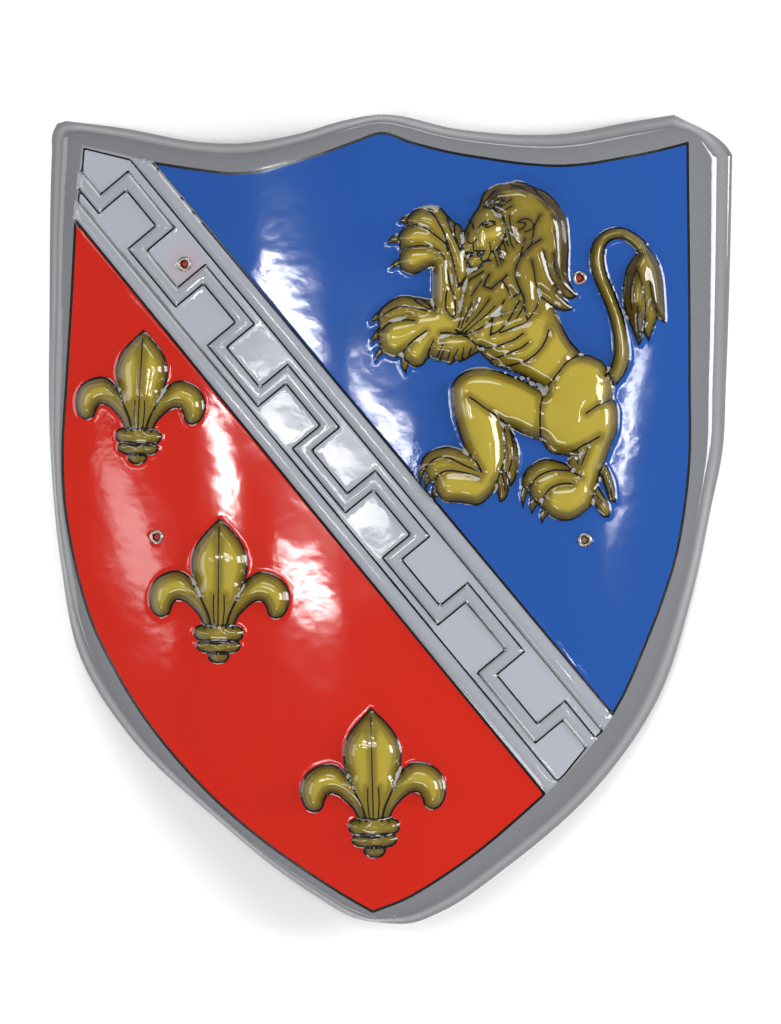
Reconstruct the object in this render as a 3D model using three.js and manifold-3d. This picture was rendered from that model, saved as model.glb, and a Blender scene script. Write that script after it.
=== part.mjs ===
// A child's costume heater shield: one thin plastic shell formed over a mould, with its heraldry
// raised on the face, two moulded carrying straps behind it and the four eyelets that hold them.
// Millimetres. The shield lies face up: +X to the right of its face, +Y to its top edge,
// +Z out of its face, and z = 0 is the surface that its long side rims lie on.

import * as THREE from "three";
import { mergeVertices } from "three/addons/utils/BufferGeometryUtils.js";
import Module from "manifold-3d";

const wasm = await Module();
wasm.setup();

// ---- Driving dimensions ----

const SHEET = 1.2; // wall of the formed sheet
const HALF_WIDTH = 206; // half the width across the rims
const BEND_RADIUS = 618; // the face is bent round a vertical cylinder
const RIM_DROP = 11; // field above the rim
const BORDER_CROWN = 2.6; // border above the field
const SEAT_TAKE_UP = 4.5; // how much the drop grows so that the side rims lie flat
const GAP = 0.3; // clearance between separate pieces

const LION_RELIEF = 11; // height that the widest swellings tend to
const FLEUR_RELIEF = 8;
const SWELL_WIDTH = 6; // half width at which a swelling reaches half that height
const RIB_RISE = 2.2; // fret and rails above the field
const FOOT = 0.9; // how far raised work is sunk into the sheet
const MOUND_STEP = 20; // spacing of the sections along a swelling
const HOLLOW_WIDTH = 9; // half width over which one of the lion's swellings is hollow behind
const BROAD_WIDTH = 13; // half width over which a swelling has a finer section
const HOLLOW_END = 4; // half width at which a hollow ends
const ROUND_END = 0.8; // an end section's distance past the spine, in half widths
const HOLLOW_FOOT = 2.5; // how far a hollow's cutter reaches behind the sheet
const POINT_WIDTH = 2.6; // half width under which the end of a swelling is a point

const BAND_START = new THREE.Vector2(-166.4, 196.2);
const BAND_ANGLE = THREE.MathUtils.degToRad(-50.5);
const BAND_LENGTH = 438;
const RAIL_OFFSET = 24.8; // centre of a rail from the band's axis
const RAIL_HALF = 4.6;
const FRET_HALF = 4; // half width of the fret's rib
const FRET_UPPER = 10.3; // across the band to the upper arms
const FRET_LOWER = -11.4;
const FRET_KEYS = 11; // cross legs
const FRET_PITCH = 36; // first spacing of the legs
const FRET_GROWTH = 0.58; // each spacing is wider than the last

const STRAP_WIDTH = 25;
const STRAP_THICK = 2;
const STRAP_TAB = 12; // flat end beyond each eyelet, and the same length inside it
const STRAP_DEPTH = 19; // sag of the middle behind the tabs
const STRAP_FALL = 0.6; // share of each half over which the strap falls to its full sag
const STUD_RISE = 1.5; // studs above the strap

const EYELET_BORE = 2.3;
const EYELET_BARREL = 3;
const EYELET_FLANGE = 4.1;
const EYELET_LIP = 0.6; // rolled flange behind the shell

const FIELD_MIDDLE = new THREE.Vector2(-6, 30); // the inner rings of the face shrink towards it
const CUTTER_DEPTH = 60; // deeper than a strap's sag

// ---- Where the sheet lies ----

const bend = (x) => Math.sqrt(BEND_RADIUS ** 2 - x ** 2) - Math.sqrt(BEND_RADIUS ** 2 - HALF_WIDTH ** 2);
const fieldHeight = (x) => RIM_DROP + bend(x);
const rimHeight = (x) => Math.max(0, bend(x) - SEAT_TAKE_UP) + SHEET;

// ---- Mesh helpers ----

function signedVolume(geometry) {
  const corners = [0, 1, 2].map(() => new THREE.Vector3());
  const places = geometry.attributes.position;
  let volume = 0;
  for (let i = 0; i < geometry.index.count; i += 3) {
    corners.forEach((corner, k) => corner.fromBufferAttribute(places, geometry.index.getX(i + k)));
    volume += corners[0].dot(corners[1].clone().cross(corners[2])) / 6;
  }
  return volume;
}

// Joins closed rings of equal length one after the other, and closes both ends with a fan.
function skin(rings) {
  const count = rings[0].length;
  const centre = (ring) => ring.reduce((sum, p) => sum.add(p), new THREE.Vector3()).divideScalar(count);
  const points = [...rings.flat(), centre(rings[0]), centre(rings.at(-1))];
  const first = rings.length * count;
  const index = [];
  for (let k = 0; k < count; k++) {
    const next = (k + 1) % count;
    for (let r = 0; r < rings.length - 1; r++) {
      const here = r * count;
      const there = here + count;
      index.push(here + k, here + next, there + next, here + k, there + next, there + k);
    }
    index.push(first, next, k);
    index.push(first + 1, first - count + k, first - count + next);
  }
  const geometry = new THREE.BufferGeometry().setFromPoints(points).setIndex(index);
  if (signedVolume(geometry) < 0) {
    geometry.setIndex(index.reverse());
  }
  return geometry;
}

function toSolid(geometry) {
  const bare = new THREE.BufferGeometry();
  bare.setAttribute("position", geometry.attributes.position.clone());
  bare.setIndex(geometry.index ? geometry.index.clone() : null);
  const merged = mergeVertices(bare, 1e-4);
  const vertProperties = new Float32Array(merged.attributes.position.array);
  const triVerts = new Uint32Array(merged.index.array);
  return new wasm.Manifold(new wasm.Mesh({ numProp: 3, vertProperties, triVerts }));
}

function toGeometry(solid) {
  const { vertProperties, triVerts } = solid.getMesh();
  const geometry = new THREE.BufferGeometry();
  geometry.setAttribute("position", new THREE.BufferAttribute(new Float32Array(vertProperties), 3));
  geometry.setIndex(new THREE.BufferAttribute(new Uint32Array(triVerts), 1));
  const flat = geometry.toNonIndexed();
  flat.computeVertexNormals();
  return flat;
}

const join = (solids) => solids.reduce((whole, solid) => whole.add(solid));

// ---- The formed sheet ----

// The outline in matching stretches of the outer rim and of the edge of the coloured field,
// clockwise from the top left corner, with the number of steps along each.
const OUTLINE = [
  {
    steps: 11,
    rim: [[-196, 239.6], [-162.6, 235], [-114.6, 226], [-93, 225], [-57, 230.3], [-28, 238.6], [-7, 242.1]],
    field: [[-180, 221.4], [-142.8, 213.2], [-96, 206.6], [-61, 212.5], [-6.3, 230.4]],
  },
  {
    steps: 10,
    rim: [[-7, 242.1], [40, 233.4], [77, 230.2], [101.4, 230.7], [145, 238.6], [170.8, 243]],
    field: [[-6.3, 230.4], [35, 219], [101, 211.2], [138, 216.1], [173, 224.4]],
  },
  {
    steps: 2,
    rim: [[170.8, 243], [202.5, 224.4], [206, 219.5]],
    field: [[173, 224.4], [178.5, 225.6], [178.8, 219]],
  },
  {
    steps: 14,
    rim: [
      [206, 219.5], [204.6, 155], [202.1, 81], [200, 40], [193.2, 6.6], [181.2, -48],
      [160.8, -109], [128.4, -156.6], [69, -210], [29.8, -236.4], [12.3, -243],
    ],
    field: [
      [178.8, 219], [179.7, 83], [176.3, 3.6], [163.6, -48], [133, -118],
      [92, -165.5], [51.6, -200], [-6, -233.4],
    ],
  },
  {
    steps: 2,
    rim: [[12.3, -243], [-4, -243], [-19, -240.8]],
    field: [[-6, -233.4], [-11, -235.7], [-16, -233.2]],
  },
  {
    steps: 14,
    rim: [
      [-19, -240.8], [-48, -225], [-106, -180], [-158.6, -130], [-187, -85],
      [-199.5, -25], [-205.5, 41], [-206, 131], [-204.6, 221], [-204, 233],
    ],
    field: [
      [-16, -233.2], [-48, -213], [-106, -168], [-156.4, -107.7], [-187, -41],
      [-198, 39], [-192.8, 126], [-186, 216],
    ],
  },
  {
    steps: 2,
    rim: [[-204, 233], [-201.5, 238], [-196, 239.6]],
    field: [[-186, 216], [-185, 221.5], [-180, 221.4]],
  },
];

function stretch(points, steps) {
  const places = points.map(([x, y]) => new THREE.Vector2(x, y));
  const curve = new THREE.SplineCurve(places);
  return steps === 2 ? places.slice(0, 2) : curve.getSpacedPoints(steps).slice(0, -1);
}

const rimLine = OUTLINE.flatMap(({ rim, steps }) => stretch(rim, steps));
const fieldLine = OUTLINE.flatMap(({ field, steps }) => stretch(field, steps));

// A ring part of the way from the rim line to the field line, at the height that level gives.
function borderRing(share, level) {
  return rimLine.map((outer, k) => {
    const { x, y } = outer.clone().lerp(fieldLine[k], share);
    return new THREE.Vector3(x, y, level(x));
  });
}

function fieldRing(scale, lift) {
  return fieldLine.map((edge) => {
    const { x, y } = FIELD_MIDDLE.clone().lerp(edge, scale);
    return new THREE.Vector3(x, y, fieldHeight(x) + lift);
  });
}

function makeSheet() {
  const crown = (x) => fieldHeight(x) + BORDER_CROWN;
  const shoulder = (x) => fieldHeight(x) + BORDER_CROWN - 2;
  const under = (level) => (x) => level(x) - SHEET;
  return skin([
    ...[0.28, 0.55, 0.8].map((scale) => fieldRing(scale, 0)),
    borderRing(1, fieldHeight),
    borderRing(0.84, crown),
    borderRing(0.66, shoulder),
    borderRing(0.3, rimHeight),
    borderRing(0, rimHeight),
    borderRing(0, under(rimHeight)),
    borderRing(0.38, under(rimHeight)),
    borderRing(0.72, under(shoulder)),
    borderRing(0.86, under(crown)),
    borderRing(0.98, under(fieldHeight)),
    ...[0.8, 0.45].map((scale) => fieldRing(scale, -SHEET)),
  ]);
}

// ---- Raised work ----

// Lofts a section across each station. A station is a place on the face, the vector from its
// centre line to its edge, and a height; the section lists shares of that vector and that height.
// The two edges of the section reach down to the foot.
function loft(stations, section, foot) {
  return skin(stations.map(({ place, edge, height }) => section.map(([across, share]) => {
    const x = place.x + edge.x * across;
    const z = share > 0.01 ? share * height : -foot;
    return new THREE.Vector3(x, place.y + edge.y * across, fieldHeight(x) + z);
  })));
}

function roundSection(across) {
  return Array.from({ length: across + 1 }, (_, k) => {
    const turn = Math.PI * (k / across);
    return [-Math.cos(turn), Math.sin(turn)];
  });
}

const RIB_SECTION = [[-1, 0], [-0.7, 1], [0.7, 1], [1, 0]];

// A swelling along a spine of [x, y, half width], with round ends. A hollow is the same swelling
// made smaller by the sheet's wall, open behind, and left out where the swelling is narrow.
function mound(spine, relief, hollow) {
  const route = new THREE.CatmullRomCurve3(spine.map((p) => new THREE.Vector3(...p)), false, "centripetal");
  const steps = Math.max(spine.length - 1, Math.round(route.getLength() / MOUND_STEP));
  const wall = hollow ? SHEET : 0;
  const stationAt = (share, beyond) => {
    const at = route.getPointAt(share);
    const along = route.getTangentAt(share);
    const direction = new THREE.Vector2(along.x, along.y).normalize();
    const shrink = Math.sqrt(1 - beyond ** 2);
    const place = new THREE.Vector2(at.x, at.y).addScaledVector(direction, at.z * beyond);
    const edge = new THREE.Vector2(-direction.y, direction.x).multiplyScalar(-(at.z - wall) * shrink);
    const height = ((relief * at.z) / (at.z + SWELL_WIDTH) - wall) * shrink;
    return { place, edge, height, half: at.z };
  };
  const along = Array.from({ length: steps + 1 }, (_, k) => stationAt(k / steps, 0));
  const section = roundSection(Math.max(...spine.map((p) => p[2])) > BROAD_WIDTH ? 6 : 4);
  if (hollow) {
    return toSolid(loft(along.filter(({ half }) => half > HOLLOW_END), section, SHEET + HOLLOW_FOOT));
  }
  const start = along[0].half > POINT_WIDTH ? [stationAt(0, -ROUND_END)] : [];
  const end = along.at(-1).half > POINT_WIDTH ? [stationAt(1, ROUND_END)] : [];
  return toSolid(loft([...start, ...along, ...end], section, FOOT));
}

function rib(places, half, edges) {
  const stations = places.map((place, k) => ({
    place,
    edge: edges[k].clone().multiplyScalar(half),
    height: RIB_RISE,
  }));
  return toSolid(loft(stations, RIB_SECTION, FOOT));
}

// A place on the diagonal band, from its distance along and across.
function onBand(along, across) {
  const step = new THREE.Vector2(along, across).rotateAround(new THREE.Vector2(), BAND_ANGLE);
  return BAND_START.clone().add(step);
}

function rail(side) {
  const pieces = 9;
  const places = Array.from({ length: pieces + 1 }, (_, k) => {
    return onBand((BAND_LENGTH * k) / pieces, side * RAIL_OFFSET);
  });
  const edge = onBand(0, -1).sub(onBand(0, 0));
  return rib(places, RAIL_HALF, places.map(() => edge));
}

// The centre line of the square fret: lower and upper arms joined by cross legs.
function fretLine() {
  const line = [[-18, FRET_LOWER]];
  for (let k = 0; k < FRET_KEYS; k++) {
    const along = FRET_PITCH * k + FRET_GROWTH * k * (k - 1);
    const rising = k % 2 === 0;
    line.push([along, rising ? FRET_LOWER : FRET_UPPER], [along, rising ? FRET_UPPER : FRET_LOWER]);
  }
  line.push([BAND_LENGTH, FRET_UPPER]);
  return line.map(([along, across]) => onBand(along, across));
}

// Mitres turn the edge vector of each corner to the bisector of its two sides.
function fret() {
  const places = fretLine();
  const sides = places.slice(1).map((place, k) => {
    const side = place.clone().sub(places[k]).normalize();
    return new THREE.Vector2(side.y, -side.x);
  });
  const edges = places.map((_, k) => {
    const before = sides[Math.max(k - 1, 0)];
    const after = sides[Math.min(k, sides.length - 1)];
    return before.clone().add(after).divideScalar(1 + before.dot(after));
  });
  return rib(places, FRET_HALF, edges);
}

// ---- Fleur-de-lis ----

const FLEUR = {
  petal: [[0, 62, 1.2], [0, 55, 8], [0, 41, 17.2], [0, 24, 14], [0, 8, 6.5], [0, 0, 4.5]],
  horn: [[7, 2, 3.5], [12, 15, 6.5], [22, 25, 8.2], [33, 22.5, 8], [37, 11, 6.2]],
  collar: [[-10.8, -4.4, 4.4], [0, -4.8, 4.6], [10.8, -4.4, 4.4]],
  lowerCollar: [[-10.4, -13.4, 3.3], [10.4, -13.4, 3.3]],
  finial: [[0, -17, 5.8], [0, -22, 3]],
};

const FLEURS = [
  { at: [-151.6, 53.1], lean: -3, size: 0.9 },
  { at: [-103.3, -64.8], lean: -0.7, size: 0.97 },
  { at: [-10.2, -180.4], lean: 1.4, size: 1 },
];

function fleur({ at, lean, size }, hollow) {
  const middle = new THREE.Vector2(...at);
  const turn = THREE.MathUtils.degToRad(lean);
  const put = (spine, flip = 1) => spine.map(([x, y, half]) => {
    const place = new THREE.Vector2(flip * x, y).multiplyScalar(size).rotateAround(new THREE.Vector2(), turn);
    return [...place.add(middle), half * size];
  });
  const petal = put(FLEUR.petal);
  const rest = [put(FLEUR.horn), put(FLEUR.horn, -1), put(FLEUR.collar), put(FLEUR.lowerCollar), put(FLEUR.finial)];
  return (hollow ? [petal] : [petal, ...rest]).map((spine) => mound(spine, FLEUR_RELIEF, hollow));
}

// ---- Lion rampant ----

const LION_AT = [0, -1.2];

// Spines of the body's swellings: [x, y, half width].
const LION = {
  crown: [[66, 191, 8], [80, 189, 12.5], [93, 179, 12.5], [98, 164, 8.5], [100, 149, 7], [111, 135, 1]],
  mane: [[79, 176, 14], [86, 160, 14], [92, 146, 8], [107, 127.5, 1]],
  nape: [[70, 162, 11], [78, 146, 11], [82, 132, 6], [82, 121, 1.5]],
  ruff: [[66, 150, 10], [58, 139, 13], [51, 126, 9], [42, 114, 2.5]],
  brow: [[57, 182, 5], [58, 174, 9.5], [57, 164, 7.5]],
  muzzle: [[51, 178, 2.5], [47.5, 168, 4], [47, 163, 3.5]],
  jaw: [[49, 154.5, 4], [58, 156, 4]],
  chest: [[58, 112, 10], [78, 108, 17], [92, 100, 18], [104, 89, 15]],
  haunch: [[117, 84, 14.5], [112, 71, 21], [110, 60, 20]],
  rump: [[126, 66, 9.5], [127, 54, 8.5], [122, 38, 7.5], [116, 22, 7.5]],
  thigh: [[48, 78, 11], [64, 74.5, 13.5], [80, 67, 14.5], [94, 63, 14]],
  shin: [[48, 76, 11], [51, 62, 13], [56, 45, 11.5], [59, 28, 8.5]],
  upperArm: [[30, 156, 5], [30.5, 142, 5.5], [33, 127, 7.5]],
  armFur: [[34, 177, 4.5], [40, 160, 5.5], [41, 147, 4], [39, 132, 1.5]],
  lowerArm: [[18, 115, 9], [32, 118, 7.5], [46, 117, 6]],
  armFringe: [[29, 103, 6], [38, 103, 8], [48, 106, 5]],
  highToe: [[16, 180, 5.2], [25, 177, 6], [33, 167, 4]],
  middleToe: [[12, 169.5, 6.6], [22, 169, 6.2], [32, 160, 4.5]],
  lowToe: [[12, 155.5, 7], [20, 156, 6.5], [28, 154, 4]],
  topToe: [[-1, 124.5, 4.8], [8, 128, 5], [20, 126, 5]],
  palm: [[3, 109.5, 9.6], [13, 112, 9.5], [24, 115, 8]],
  thumb: [[14.5, 100, 7.5], [19, 106, 6.5], [25, 113, 6]],
  hindToe: [[21, 33, 4.6], [32, 38.5, 4.6], [44, 35, 4.5], [52, 30, 3]],
  hindMiddle: [[26, 28.5, 4.8], [37, 31, 4.8], [50, 27.5, 4]],
  hindPaw: [[36, 20.3, 9.3], [48, 19.5, 9.6], [57, 22, 9]],
  farToe: [[83, 25, 5], [93, 31, 5], [105, 30.5, 3.5]],
  farMiddle: [[89, 19.5, 6.5], [100, 25, 5], [112, 24, 4]],
  farPaw: [[101, 11.2, 10], [109, 11.5, 10.3], [114, 15, 9]],
  tail: [[134, 87, 4.5], [138, 102, 4.2], [135, 122, 3.9], [127, 142, 3.7], [124, 157, 3.6],
    [128, 169, 3.4], [138, 172, 3.1], [147, 167.5, 3], [152, 160, 3.6]],
  tuft: [[152, 158, 4], [150, 145, 8.5], [147, 130, 7], [149, 107, 1]],
  tuftSide: [[155, 157, 4], [158, 142, 5.2], [160, 130, 4], [164, 119.5, 1]],
  hockHair: [[70, 54, 2.5], [73.5, 42, 3.6], [71, 22, 1]],
  hockTuft: [[66, 28, 3], [66.8, 20, 3.6], [66.2, 13, 1]],
  farHockHair: [[127, 31, 2.5], [131, 20, 3.6], [133, 13, 1.2]],
  farHockTuft: [[124, 18, 2.5], [126.5, 10, 3.6], [129.5, 4, 1.2]],
};

function lion(hollow) {
  const put = (spine) => spine.map(([x, y, half]) => [x + LION_AT[0], y + LION_AT[1], half]);
  const swellings = Object.values(LION);
  const deep = swellings.filter((spine) => Math.max(...spine.map((p) => p[2])) > HOLLOW_WIDTH);
  return (hollow ? deep : swellings).map((spine) => mound(put(spine), LION_RELIEF, hollow));
}

// ---- Eyelets and straps ----

const EYELETS = {
  arm_upper: new THREE.Vector2(-124.2, 152.4),
  arm_lower: new THREE.Vector2(-141, -11.4),
  grip_upper: new THREE.Vector2(113.4, 144),
  grip_lower: new THREE.Vector2(116.4, -13.2),
};

const facePoint = ({ x, y }, depth = 0) => {
  const out = new THREE.Vector3(x / BEND_RADIUS, 0, Math.sqrt(1 - (x / BEND_RADIUS) ** 2));
  return new THREE.Vector3(x, y, fieldHeight(x)).addScaledVector(out, -depth);
};

function standUpright(object, place) {
  object.position.copy(facePoint(place));
  object.rotation.y = Math.asin(place.x / BEND_RADIUS);
  return object;
}

// The hole through the sheet, with a flat seat round it behind for the eyelet's rolled lip.
function makeEyeletHole(place) {
  const holder = standUpright(new THREE.Object3D(), place);
  holder.updateMatrix();
  const drill = (radius, top) => {
    const tool = new THREE.CylinderGeometry(radius, radius, 6, 14).rotateX(Math.PI / 2).translate(0, 0, top - 3);
    return toSolid(tool.applyMatrix4(holder.matrix));
  };
  return join([drill(EYELET_BARREL + GAP, 2), drill(EYELET_FLANGE + GAP, -SHEET)]);
}

function makeEyelet() {
  const behind = -SHEET - GAP;
  const profile = [
    [EYELET_BORE, 0.5], [EYELET_BORE, behind - EYELET_LIP], [EYELET_FLANGE, behind - EYELET_LIP],
    [EYELET_FLANGE, behind], [EYELET_BARREL, behind], [EYELET_BARREL, GAP],
    [EYELET_FLANGE, GAP], [3.8, 0.9], [2.9, 1.1], [EYELET_BORE, 0.5],
  ];
  const lathe = new THREE.LatheGeometry(profile.map(([r, z]) => new THREE.Vector2(r, z)), 10);
  return toGeometry(toSolid(lathe.rotateX(Math.PI / 2)));
}

// A strap between two eyelets, along +Y with its upper face at z = 0 and a stud up each eyelet.
function makeStrap(span) {
  const reach = span / 2 + STRAP_TAB;
  const slack = span / 2 - STRAP_TAB;
  const fall = (y) => Math.min(Math.max(1 - Math.abs(y) / slack, 0) / STRAP_FALL, 1);
  const sag = (y) => -STRAP_DEPTH * Math.sin((Math.PI / 2) * fall(y)) ** 2;
  const bends = Array.from({ length: 13 }, (_, k) => slack * (1 - k / 6));
  const line = [reach, ...bends, -reach];
  const side = new THREE.Shape([
    ...line.map((y) => new THREE.Vector2(y, sag(y))),
    ...line.toReversed().map((y) => new THREE.Vector2(y, sag(y) - STRAP_THICK)),
  ]);
  const ribbon = new THREE.ExtrudeGeometry(side, { depth: STRAP_WIDTH, bevelEnabled: false });
  ribbon.translate(0, 0, -STRAP_WIDTH / 2).rotateX(Math.PI / 2).rotateZ(Math.PI / 2);
  const plan = new THREE.Shape();
  const half = STRAP_WIDTH / 2;
  plan.moveTo(-half, half - reach);
  plan.absarc(0, half - reach, half, Math.PI, 0, false);
  plan.absarc(0, reach - half, half, 0, Math.PI, false);
  const trim = new THREE.ExtrudeGeometry(plan, { depth: CUTTER_DEPTH, bevelEnabled: false, curveSegments: 6 });
  const strap = toSolid(ribbon).intersect(toSolid(trim.translate(0, 0, -CUTTER_DEPTH / 2)));
  const studs = [-1, 1].map((end) => {
    const radius = EYELET_BORE - GAP;
    const stud = new THREE.CylinderGeometry(radius, radius, STUD_RISE + 1, 12);
    return toSolid(stud.rotateX(Math.PI / 2).translate(0, (end * span) / 2, (STUD_RISE - 1) / 2));
  });
  return toGeometry(join([strap, ...studs]));
}

function placeStrap(mesh, upper, lower) {
  const depth = SHEET + 2 * GAP + EYELET_LIP;
  const top = facePoint(upper, depth);
  const bottom = facePoint(lower, depth);
  const along = top.clone().sub(bottom).normalize();
  const out = facePoint(upper).add(facePoint(lower)).sub(top).sub(bottom).normalize();
  const across = along.clone().cross(out).normalize();
  const basis = new THREE.Matrix4().makeBasis(across, along, across.clone().cross(along));
  mesh.quaternion.setFromRotationMatrix(basis);
  mesh.position.copy(top).add(bottom).divideScalar(2);
  return mesh;
}

// ---- Assembly ----

function makeShell() {
  const charges = (hollow) => [...FLEURS.flatMap((one) => fleur(one, hollow)), ...lion(hollow)];
  const holes = Object.values(EYELETS).map(makeEyeletHole);
  const solid = join([toSolid(makeSheet()), rail(1), rail(-1), fret(), ...charges(false)]);
  return toGeometry(solid.subtract(join(charges(true))).subtract(join(holes)));
}

const finishes = {
  shell: new THREE.MeshStandardMaterial({ color: 0x9a9da1, roughness: 0.15, metalness: 0 }),
  strap: new THREE.MeshStandardMaterial({ color: 0x9c1f1a, roughness: 0.4, metalness: 0 }),
  eyelet: new THREE.MeshStandardMaterial({ color: 0xb9b4a8, roughness: 0.3, metalness: 1 }),
};

const shield = new THREE.Group();

const shell = new THREE.Mesh(makeShell(), finishes.shell);
shell.name = "shell";
shield.add(shell);

for (const strapName of ["arm", "grip"]) {
  const upper = EYELETS[`${strapName}_upper`];
  const lower = EYELETS[`${strapName}_lower`];
  const span = facePoint(upper).distanceTo(facePoint(lower));
  const strap = new THREE.Mesh(makeStrap(span), finishes.strap);
  strap.name = `${strapName}_strap`;
  shield.add(placeStrap(strap, upper, lower));
}

for (const [eyeletName, place] of Object.entries(EYELETS)) {
  const eyelet = new THREE.Mesh(makeEyelet(), finishes.eyelet);
  eyelet.name = `${eyeletName}_eyelet`;
  shield.add(standUpright(eyelet, place));
}

export default shield;
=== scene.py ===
import math

import bpy
import numpy as np
from mathutils import Matrix, Vector, kdtree
from mathutils.geometry import delaunay_2d_cdt


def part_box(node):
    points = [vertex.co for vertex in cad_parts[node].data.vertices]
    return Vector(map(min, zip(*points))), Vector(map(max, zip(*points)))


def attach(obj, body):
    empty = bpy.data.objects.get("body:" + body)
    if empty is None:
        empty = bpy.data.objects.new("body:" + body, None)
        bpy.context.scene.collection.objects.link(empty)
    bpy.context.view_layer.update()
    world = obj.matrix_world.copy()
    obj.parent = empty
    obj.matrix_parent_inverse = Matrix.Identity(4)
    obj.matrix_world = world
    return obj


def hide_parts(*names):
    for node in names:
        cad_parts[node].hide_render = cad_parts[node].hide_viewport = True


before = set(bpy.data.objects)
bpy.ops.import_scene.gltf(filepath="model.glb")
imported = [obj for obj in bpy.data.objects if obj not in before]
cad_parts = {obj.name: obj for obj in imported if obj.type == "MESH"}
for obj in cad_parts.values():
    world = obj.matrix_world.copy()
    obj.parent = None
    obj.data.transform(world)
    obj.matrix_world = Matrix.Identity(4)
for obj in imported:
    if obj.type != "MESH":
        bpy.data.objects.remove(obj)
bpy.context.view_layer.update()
print("frame loaded")

# Lengths are in millimetres until a mesh is written, when toMetres scales them.
toMetres = 0.001


def splineRun(points, step):
    # a smooth line through the points, cut into equal steps
    points = np.asarray(points, float)
    dense = points
    if len(points) > 2:
        chords = np.diff(points, axis=0)
        lengths = np.linalg.norm(chords, axis=1)[:, None]
        slopes = chords / lengths
        inner = (slopes[:-1] * lengths[1:] + slopes[1:] * lengths[:-1]) / (lengths[:-1] + lengths[1:])
        tangents = np.vstack([slopes[:1], inner, slopes[-1:]])
        share = np.linspace(0, 1, 9)[:-1, None]
        runs = [
            (2 * share**3 - 3 * share**2 + 1) * points[k]
            + (share**3 - 2 * share**2 + share) * lengths[k] * tangents[k]
            + (3 * share**2 - 2 * share**3) * points[k + 1]
            + (share**3 - share**2) * lengths[k] * tangents[k + 1]
            for k in range(len(chords))
        ]
        dense = np.vstack([*runs, points[-1:]])
    return evenSteps(dense, step)


def evenSteps(points, step):
    run = np.concatenate([[0], np.cumsum(np.linalg.norm(np.diff(points, axis=0), axis=1))])
    count = max(1, round(run[-1] / step))
    at = np.linspace(0, run[-1], count + 1)
    return np.stack([np.interp(at, run, points[:, 0]), np.interp(at, run, points[:, 1])], 1)


def smoothLine(points, step, cornerDegrees=48):
    # the points joined smoothly, but for a sharp corner wherever they turn hard
    points = np.asarray(points, float)
    legs = np.diff(points, axis=0)
    headings = np.arctan2(legs[:, 1], legs[:, 0])
    turns = np.abs((np.diff(headings) + math.pi) % (2 * math.pi) - math.pi)
    corners = [k + 1 for k, turn in enumerate(turns) if turn > math.radians(cornerDegrees)]
    ends = [0, *corners, len(points) - 1]
    runs = [splineRun(points[a : b + 1], step) for a, b in zip(ends, ends[1:])]
    return np.vstack([runs[0], *[run[1:] for run in runs[1:]]])


def closed(points):
    return [*points, points[0]]


def loopOf(line):
    return np.vstack([line, line[:1]])


def offsetLine(points, distance):
    # the line moved sideways, with mitred corners; a positive distance is to the left
    points = np.asarray(points, float)
    sides = np.diff(points, axis=0)
    sides /= np.linalg.norm(sides, axis=1)[:, None]
    normals = np.stack([-sides[:, 1], sides[:, 0]], 1)
    before = np.vstack([normals[:1], normals])
    after = np.vstack([normals, normals[-1:]])
    mitre = (before + after) / (1 + (before * after).sum(1))[:, None]
    return points + distance * mitre


def insidePolygon(places, polygon):
    x, y = places[:, 0], places[:, 1]
    result = np.zeros(len(places), bool)
    for (ax, ay), (bx, by) in zip(polygon, np.roll(polygon, -1, axis=0)):
        if ay != by:
            crosses = (ay > y) != (by > y)
            result ^= crosses & (x < (bx - ax) * (y - ay) / (by - ay) + ax)
    return result


def insideAny(places, polygons):
    result = np.zeros(len(places), bool)
    for polygon in polygons:
        result |= insidePolygon(places, polygon)
    return result


class Nearest:
    # distance from any place to the nearest of many samples, and which sample that is; the samples
    # of a whole line give the distance to the line itself
    def __init__(self, samples, asLine=False):
        self.samples = np.asarray(samples)
        self.asLine = asLine
        self.tree = kdtree.KDTree(len(samples))
        for k, (x, y) in enumerate(samples):
            self.tree.insert((x, y, 0), k)
        self.tree.balance()

    def ask(self, places):
        found = [self.tree.find((x, y, 0)) for x, y in places]
        away, which = np.array([f[2] for f in found]), np.array([f[1] for f in found])
        if self.asLine:
            start = self.samples[which]
            for step in (-1, 1):
                run = self.samples[(which + step) % len(self.samples)] - start
                length = np.maximum((run**2).sum(1), 1e-9)
                share = np.clip(((places - start) * run).sum(1) / length, 0, 1)
                away = np.minimum(away, np.linalg.norm(places - start - share[:, None] * run, axis=1))
        return away, which


def smoothStep(value):
    value = np.clip(value, 0, 1)
    return value * value * (3 - 2 * value)


def hexGrid(low, high, spacing):
    rows = np.arange(low[1], high[1], spacing * 0.866)
    columns = np.arange(low[0], high[0], spacing)
    x, y = np.meshgrid(columns, rows)
    x = x + (np.arange(len(rows)) % 2)[:, None] * spacing / 2
    return np.stack([x.ravel(), y.ravel()], 1)


sheetSizes = {
    "wall": 1.2,
    "halfWidth": 206,
    "bendRadius": 618,
    "rimDrop": 11,
    "seatTakeUp": 4.5,
    "edgeBulge": 0.25,  # rounding of the cut edge
    "wallShift": 0.08,  # how much nearer the field the border's wall stands behind
    "borderShares": [0, 0.08, 0.3, 0.88, 1, 1.5],  # where the border bends: 0 at the rim, 1 at the field
    "lip": 0.97,  # share of the whole drop that lies in the lip at the rim
    "crown": 0.2,  # rise of the border above the field, beside it
    "blur": 0.11,  # rounding of the border's bends, as a share of its width
    "rimStep": 2,
    "fieldStep": 1.4,
    "sampleStep": 0.6,
    "rimCorner": 34,  # degrees
    "holeRadius": 3.3,
    "holeSides": 20,
}

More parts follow.
